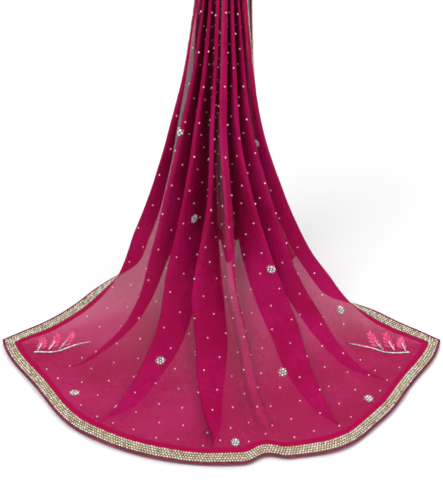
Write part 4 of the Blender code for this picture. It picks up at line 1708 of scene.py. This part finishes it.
@dataclass
class FlowerCluster:
    """A flower of crystals: one in the middle, six petals and small ones between their tips."""

    patch: Patch
    name: str
    along: float
    across: float
    node: Optional[str] = None
    rings: tuple = (
        (0.0000, 1, 0.0, 1.1, 0.0016),
        (0.0042, 6, 0.0, 1.6, 0.0013),
        (0.0066, 6, 0.5, 0.6, 0.0009),
    )

    def build(self, maker: Maker, scatter: Scatter) -> bpy.types.Object:
        """Make the cluster and return it.

        Args:
            maker: makes the meshes and the materials.
            scatter: sets the grains.

        Returns:
            The flower.
        """
        points = []
        ways = []
        sizes = []
        for radius, count, offset, size, lift in self.rings:
            for index in range(count):
                turn = 2 * math.pi * (index + offset) / count
                point, normal = self.patch.read(self.along + radius * math.sin(turn),
                                                self.across + radius * math.cos(turn))
                points.append(point + normal * lift)
                ways.append(normal)
                sizes.append(size)
        piece = scatter.make(maker, self.name, points, ways, CRYSTAL, sizes)
        if self.node is not None:
            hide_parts(self.node)
        return piece


class Leaf(NamedTuple):
    """One plume of a corner spray: its ends from the hem and the side edge, bend and sway."""

    name: str
    from_hem: float
    from_side: float
    to_hem: float
    to_side: float
    bend: float
    sway: float


PLUMES = (
    Leaf("plume_1", 0.046, 0.056, 0.058, 0.033, 0.0030, 0.0),
    Leaf("plume_2", 0.062, 0.061, 0.082, 0.036, 0.0030, 0.0),
    Leaf("plume_3", 0.078, 0.067, 0.104, 0.049, 0.0030, 0.0),
)
STEM = Leaf("stem", 0.038, 0.060, 0.118, 0.086, -0.0020, 0.0036)


@dataclass
class CornerSpray:
    """A leaf spray in a corner: satin-stitched leaflets and a stem of crystals."""

    patch: Patch
    left: bool
    leaflets: int = 9
    leaflet_length: float = 0.0125
    leaflet_width: float = 0.0050
    spread: float = 34.0
    rise: float = 0.0016
    steps: int = 8
    sides: int = 5
    root_lift: float = 0.0003
    under_lift: float = 0.0001
    crystal_lift: float = 0.0016
    stem_crystals: int = 30
    stem_half_width: float = 0.0011
    stem_doubled_to: float = 0.75
    rib_crystals: int = 7
    rib_start: float = -0.12
    rib_length: float = 0.62

    def place(self, from_hem: float, from_side: float) -> tuple:
        """Return the place on the cloth, along and across."""
        return from_hem, from_side if self.left else CUT_WIDTH - from_side

    def spine(self, leaf: Leaf, share: float) -> np.ndarray:
        """Return a place on a leaf's bent middle line, from the hem and from the side.

        Args:
            leaf: the plume or the stem.
            share: how far along it, 0 to 1.

        Returns:
            The two distances.
        """
        sag = leaf.bend * math.sin(math.pi * share)
        sway = leaf.sway * math.sin(2 * math.pi * share)
        return np.array([
            leaf.from_hem + (leaf.to_hem - leaf.from_hem) * share + sag,
            leaf.from_side + (leaf.to_side - leaf.from_side) * share + sway,
        ])

    def build(self, maker: Maker, scatter: Scatter) -> list:
        """Make the plumes and the stem and return them.

        Args:
            maker: makes the meshes and the materials.
            scatter: sets the grains.

        Returns:
            The plumes and the stem.
        """
        corner = "left" if self.left else "right"
        made = []
        for leaf in PLUMES:
            points = []
            flat = []
            faces = []
            for index in range(self.leaflets):
                self.add_leaflet(leaf, index, points, flat, faces)
            node = f"spray_front_{corner}_{leaf.name}"
            piece = maker.piece("stitched_" + node, points, faces, PLUME, flat)
            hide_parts(node)
            made.append(piece)
        points = []
        ways = []
        for index in range(self.stem_crystals):
            share = index / (self.stem_crystals - 1)
            doubled = share < self.stem_doubled_to
            for offset in (-self.stem_half_width, self.stem_half_width) if doubled else (0.0,):
                where = self.spine(STEM, share)
                along, across = self.place(where[0] + offset, where[1])
                point, normal = self.patch.read(along, across)
                points.append(point + normal * self.crystal_lift)
                ways.append(normal)
        for leaf in PLUMES:
            for index in range(self.rib_crystals):
                share = self.rib_length * index / self.rib_crystals + self.rib_start
                where = self.spine(leaf, share)
                point, normal = self.patch.read(*self.place(where[0], where[1]))
                points.append(point + normal * (self.crystal_lift + self.rise))
                ways.append(normal)
        node = f"spray_front_{corner}_stem"
        stem = scatter.make(maker, "crystals_" + node, points, ways, CRYSTAL)
        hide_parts(node)
        made.append(stem)
        return made

    def add_leaflet(self, leaf: Leaf, index: int, points: list, flat: list,
                    faces: list) -> None:
        """Add one domed leaflet of a plume to the lists.

        Args:
            leaf: the plume.
            index: the leaflet's number in it.
            points: the corners so far.
            flat: their places on the cloth.
            faces: the faces so far.
        """
        share = 0.85 * index / (self.leaflets - 1)
        root = self.spine(leaf, share)
        ahead = self.spine(leaf, min(share + 0.1, 1.0)) - self.spine(leaf, max(share - 0.1, 0.0))
        lean = (0.0 if index == self.leaflets - 1 else 1.0) * (-1.0 if index % 2 else 1.0)
        heading = math.atan2(ahead[0], ahead[1]) + math.radians(self.spread) * lean
        length = self.leaflet_length * (1.0 - 0.30 * share)
        way = np.array([math.sin(heading), math.cos(heading)])
        side = np.array([way[1], -way[0]])
        first = len(points)
        for step in range(self.steps + 1):
            reach = step / self.steps
            half = self.leaflet_width / 2 * math.sin(math.pi * (0.05 + 0.93 * reach)) ** 0.8
            for rib in range(self.sides):
                over = rib / (self.sides - 1) * 2 - 1
                where = root + way * length * reach + side * half * over
                dome = self.rise * (1.0 - over ** 2) * math.sin(math.pi * min(reach + 0.1, 1.0))
                along, across = self.place(where[0], where[1])
                points.append(self.patch.lifted(along, across, self.root_lift + dome))
                flat.append((across, along, 0.1))
        for face in grid_faces(self.steps + 1, self.sides):
            corners = tuple(first + corner for corner in face)
            faces.append(corners if self.left else corners[::-1])
        self.add_back(first, points, flat, faces)

    def add_back(self, first: int, points: list, flat: list, faces: list) -> None:
        """Close a leaflet's underside, so that it is a solid.

        Args:
            first: the leaflet's first corner.
            points: the corners so far.
            flat: their places on the cloth.
            faces: the faces so far.
        """
        rows = self.steps + 1
        columns = self.sides
        count = rows * columns
        for index in range(count):
            across, along, edge = flat[first + index]
            points.append(self.patch.lifted(along, across, self.under_lift))
            flat.append((across, along, edge))
        for face in grid_faces(rows, columns):
            corners = tuple(first + count + corner for corner in face)
            faces.append(corners[::-1] if self.left else corners)
        ring = [column for column in range(columns)]
        ring += [row * columns + columns - 1 for row in range(1, rows)]
        ring += [(rows - 1) * columns + column for column in range(columns - 2, -1, -1)]
        ring += [row * columns for row in range(rows - 2, 0, -1)]
        for index, here in enumerate(ring):
            there = ring[(index + 1) % len(ring)]
            corners = (first + here, first + count + here, first + count + there, first + there)
            faces.append(corners if self.left else corners[::-1])


@dataclass
class Studio:
    """The pale floor, the soft light and the camera."""

    focal_pixels: float = 1400.0
    picture_width: float = 443.0
    sensor_width: float = 36.0
    camera_place: tuple = (0.0, -1.77, 0.42)
    camera_down: float = 36.3
    floor_half: float = 6.0
    floor_gap: float = 0.0015
    floor_grey: float = 0.86
    light_all_round: float = 0.66
    aim: tuple = (0.0, 0.0, -0.6)
    lights: tuple = field(default_factory=lambda: (
        ("key", (-1.0, -1.5, 2.6), 72.0, 1.6),
        ("fill", (2.0, -1.2, 2.0), 26.0, 2.0),
        ("back", (0.3, 1.8, 2.4), 30.0, 2.0),
    ))

    def build(self) -> None:
        """Set up the floor, the lights and the camera."""
        self.make_floor()
        self.make_lights()
        self.make_camera()

    def make_floor(self) -> None:
        """Make the floor."""
        half = self.floor_half
        mesh = bpy.data.meshes.new("floor")
        level = FLOOR - self.floor_gap
        corners = [(-half, -half, level), (half, -half, level), (half, half, level),
                   (-half, half, level)]
        mesh.from_pydata(corners, [], [(0, 1, 2, 3)])
        mesh.materials.append(start_material("floor", {
            "Base Color": (self.floor_grey, self.floor_grey, self.floor_grey, 1.0),
            "Roughness": 0.9,
        }))
        floor = bpy.data.objects.new("floor", mesh)
        bpy.context.scene.collection.objects.link(floor)

    def make_lights(self) -> None:
        """Make the soft light from all round, and the large lamps."""
        world = bpy.data.worlds.new("studio")
        world.use_nodes = True
        set_inputs(world.node_tree.nodes["Background"], {
            "Color": (1.0, 1.0, 1.0, 1.0),
            "Strength": self.light_all_round,
        })
        bpy.context.scene.world = world
        for name, place, power, size in self.lights:
            light = bpy.data.lights.new(name, "AREA")
            light.energy = power
            light.size = size
            lamp = bpy.data.objects.new(name, light)
            lamp.location = place
            aim = np.array(self.aim) - np.array(place)
            lamp.rotation_euler = (
                math.acos(-aim[2] / float(np.linalg.norm(aim))),
                0.0,
                math.atan2(aim[1], aim[0]) - math.pi / 2,
            )
            bpy.context.scene.collection.objects.link(lamp)

    def make_camera(self) -> None:
        """Make the camera."""
        camera = bpy.data.cameras.new("camera")
        camera.sensor_fit = "HORIZONTAL"
        camera.sensor_width = self.sensor_width
        camera.lens = self.sensor_width * self.focal_pixels / self.picture_width
        holder = bpy.data.objects.new("camera", camera)
        holder.location = self.camera_place
        holder.rotation_euler = (math.radians(90.0 - self.camera_down), 0.0, 0.0)
        bpy.context.scene.collection.objects.link(holder)
        bpy.context.scene.camera = holder
        bpy.context.scene.view_settings.view_transform = "Standard"


FLOWER_PLACES = (
    ("flower_1", 0.041, 0.186),
    ("flower_2", 0.148, 0.304),
    ("flower_3", 0.132, 0.622),
    (None, 0.034, 0.498),
    (None, 0.160, 0.895),
    (None, 0.038, 0.748),
    (None, 0.280, 0.666),
    (None, 0.500, 0.142),
    (None, 0.472, 0.905),
    (None, 0.360, 0.316),
)
SPRAY_PLACES = (
    (0.028, 0.126, 0.020, 0.100),
    (0.028, 0.126, CUT_WIDTH - 0.100, CUT_WIDTH - 0.020),
)


FLOWER_ROOM = 0.012
CRYSTAL_RADIUS = 0.00135


def spaced(first: float, last: float, step: float) -> list:
    """Return places from first to last, evenly spaced by about a step."""
    count = max(int(round((last - first) / step)), 1)
    return [float(value) for value in np.linspace(first, last, count + 1)]


def stretch_rows(stretch: Stretch) -> list:
    """Return the distances along the cloth of a stretch's rows.

    Args:
        stretch: which stretch of the cloth.

    Returns:
        The distances, in metres.
    """
    if stretch is Stretch.FRONT:
        hem = [0.0, BORDER_INSET, BORDER_MIDDLE]
        open_rows = spaced(BORDER_EDGE, OPEN_FALL, OPEN_ROWS)
        return hem + open_rows + spaced(OPEN_FALL, CROWN_START - SEAM_LAP, FRONT_ROWS)[1:]
    if stretch is Stretch.CROWN:
        return spaced(CROWN_START - SEAM_LAP + SEAM_GAP, BACK_START + SEAM_LAP, CROWN_ROWS)
    hem = [BACK_HEM - BORDER_MIDDLE, BACK_HEM - BORDER_INSET, BACK_HEM]
    return spaced(BACK_START + SEAM_LAP + SEAM_GAP, BACK_HEM - BORDER_EDGE, BACK_ROWS) + hem


def main() -> None:
    """Build every piece and report it."""
    logging.basicConfig(level=logging.INFO, format="%(name)s: %(message)s")
    Studio().build()
    maker = Maker()
    drape = Drape()
    sequin_scatter = Scatter(Grain.DISC, SequinBorder.sequin_radius, spread=0.55, seed=11)
    stud_scatter = Scatter(Grain.BALL, BeadField.radius, spread=0.3, seed=23)
    crystal_scatter = Scatter(Grain.BALL, CRYSTAL_RADIUS, spread=0.6, seed=37)
    patches = tuple(Patch(stretch, drape, stretch_rows(stretch)) for stretch in Stretch)
    cloth = SheerCloth(patches).build(maker)
    avoid = tuple(
        (along - FLOWER_ROOM, along + FLOWER_ROOM, across - FLOWER_ROOM, across + FLOWER_ROOM)
        for _, along, across in FLOWER_PLACES
    )
    trims = []
    for patch in patches:
        path = EdgePath(patch)
        trims += SequinBorder(path).build(maker, sequin_scatter)
        trims += SatinPiping(path).build(maker)
        trims.append(BeadField(patch, avoid=avoid + SPRAY_PLACES).build(maker, stud_scatter))
    front = patches[0]
    for index, (node, along, across) in enumerate(FLOWER_PLACES):
        flower = FlowerCluster(front, f"crystal_flower_{index + 1}", along, across, node)
        trims.append(flower.build(maker, crystal_scatter))
    for left in (True, False):
        trims += CornerSpray(front, left).build(maker, crystal_scatter)


if __name__ == "__main__":
    main()
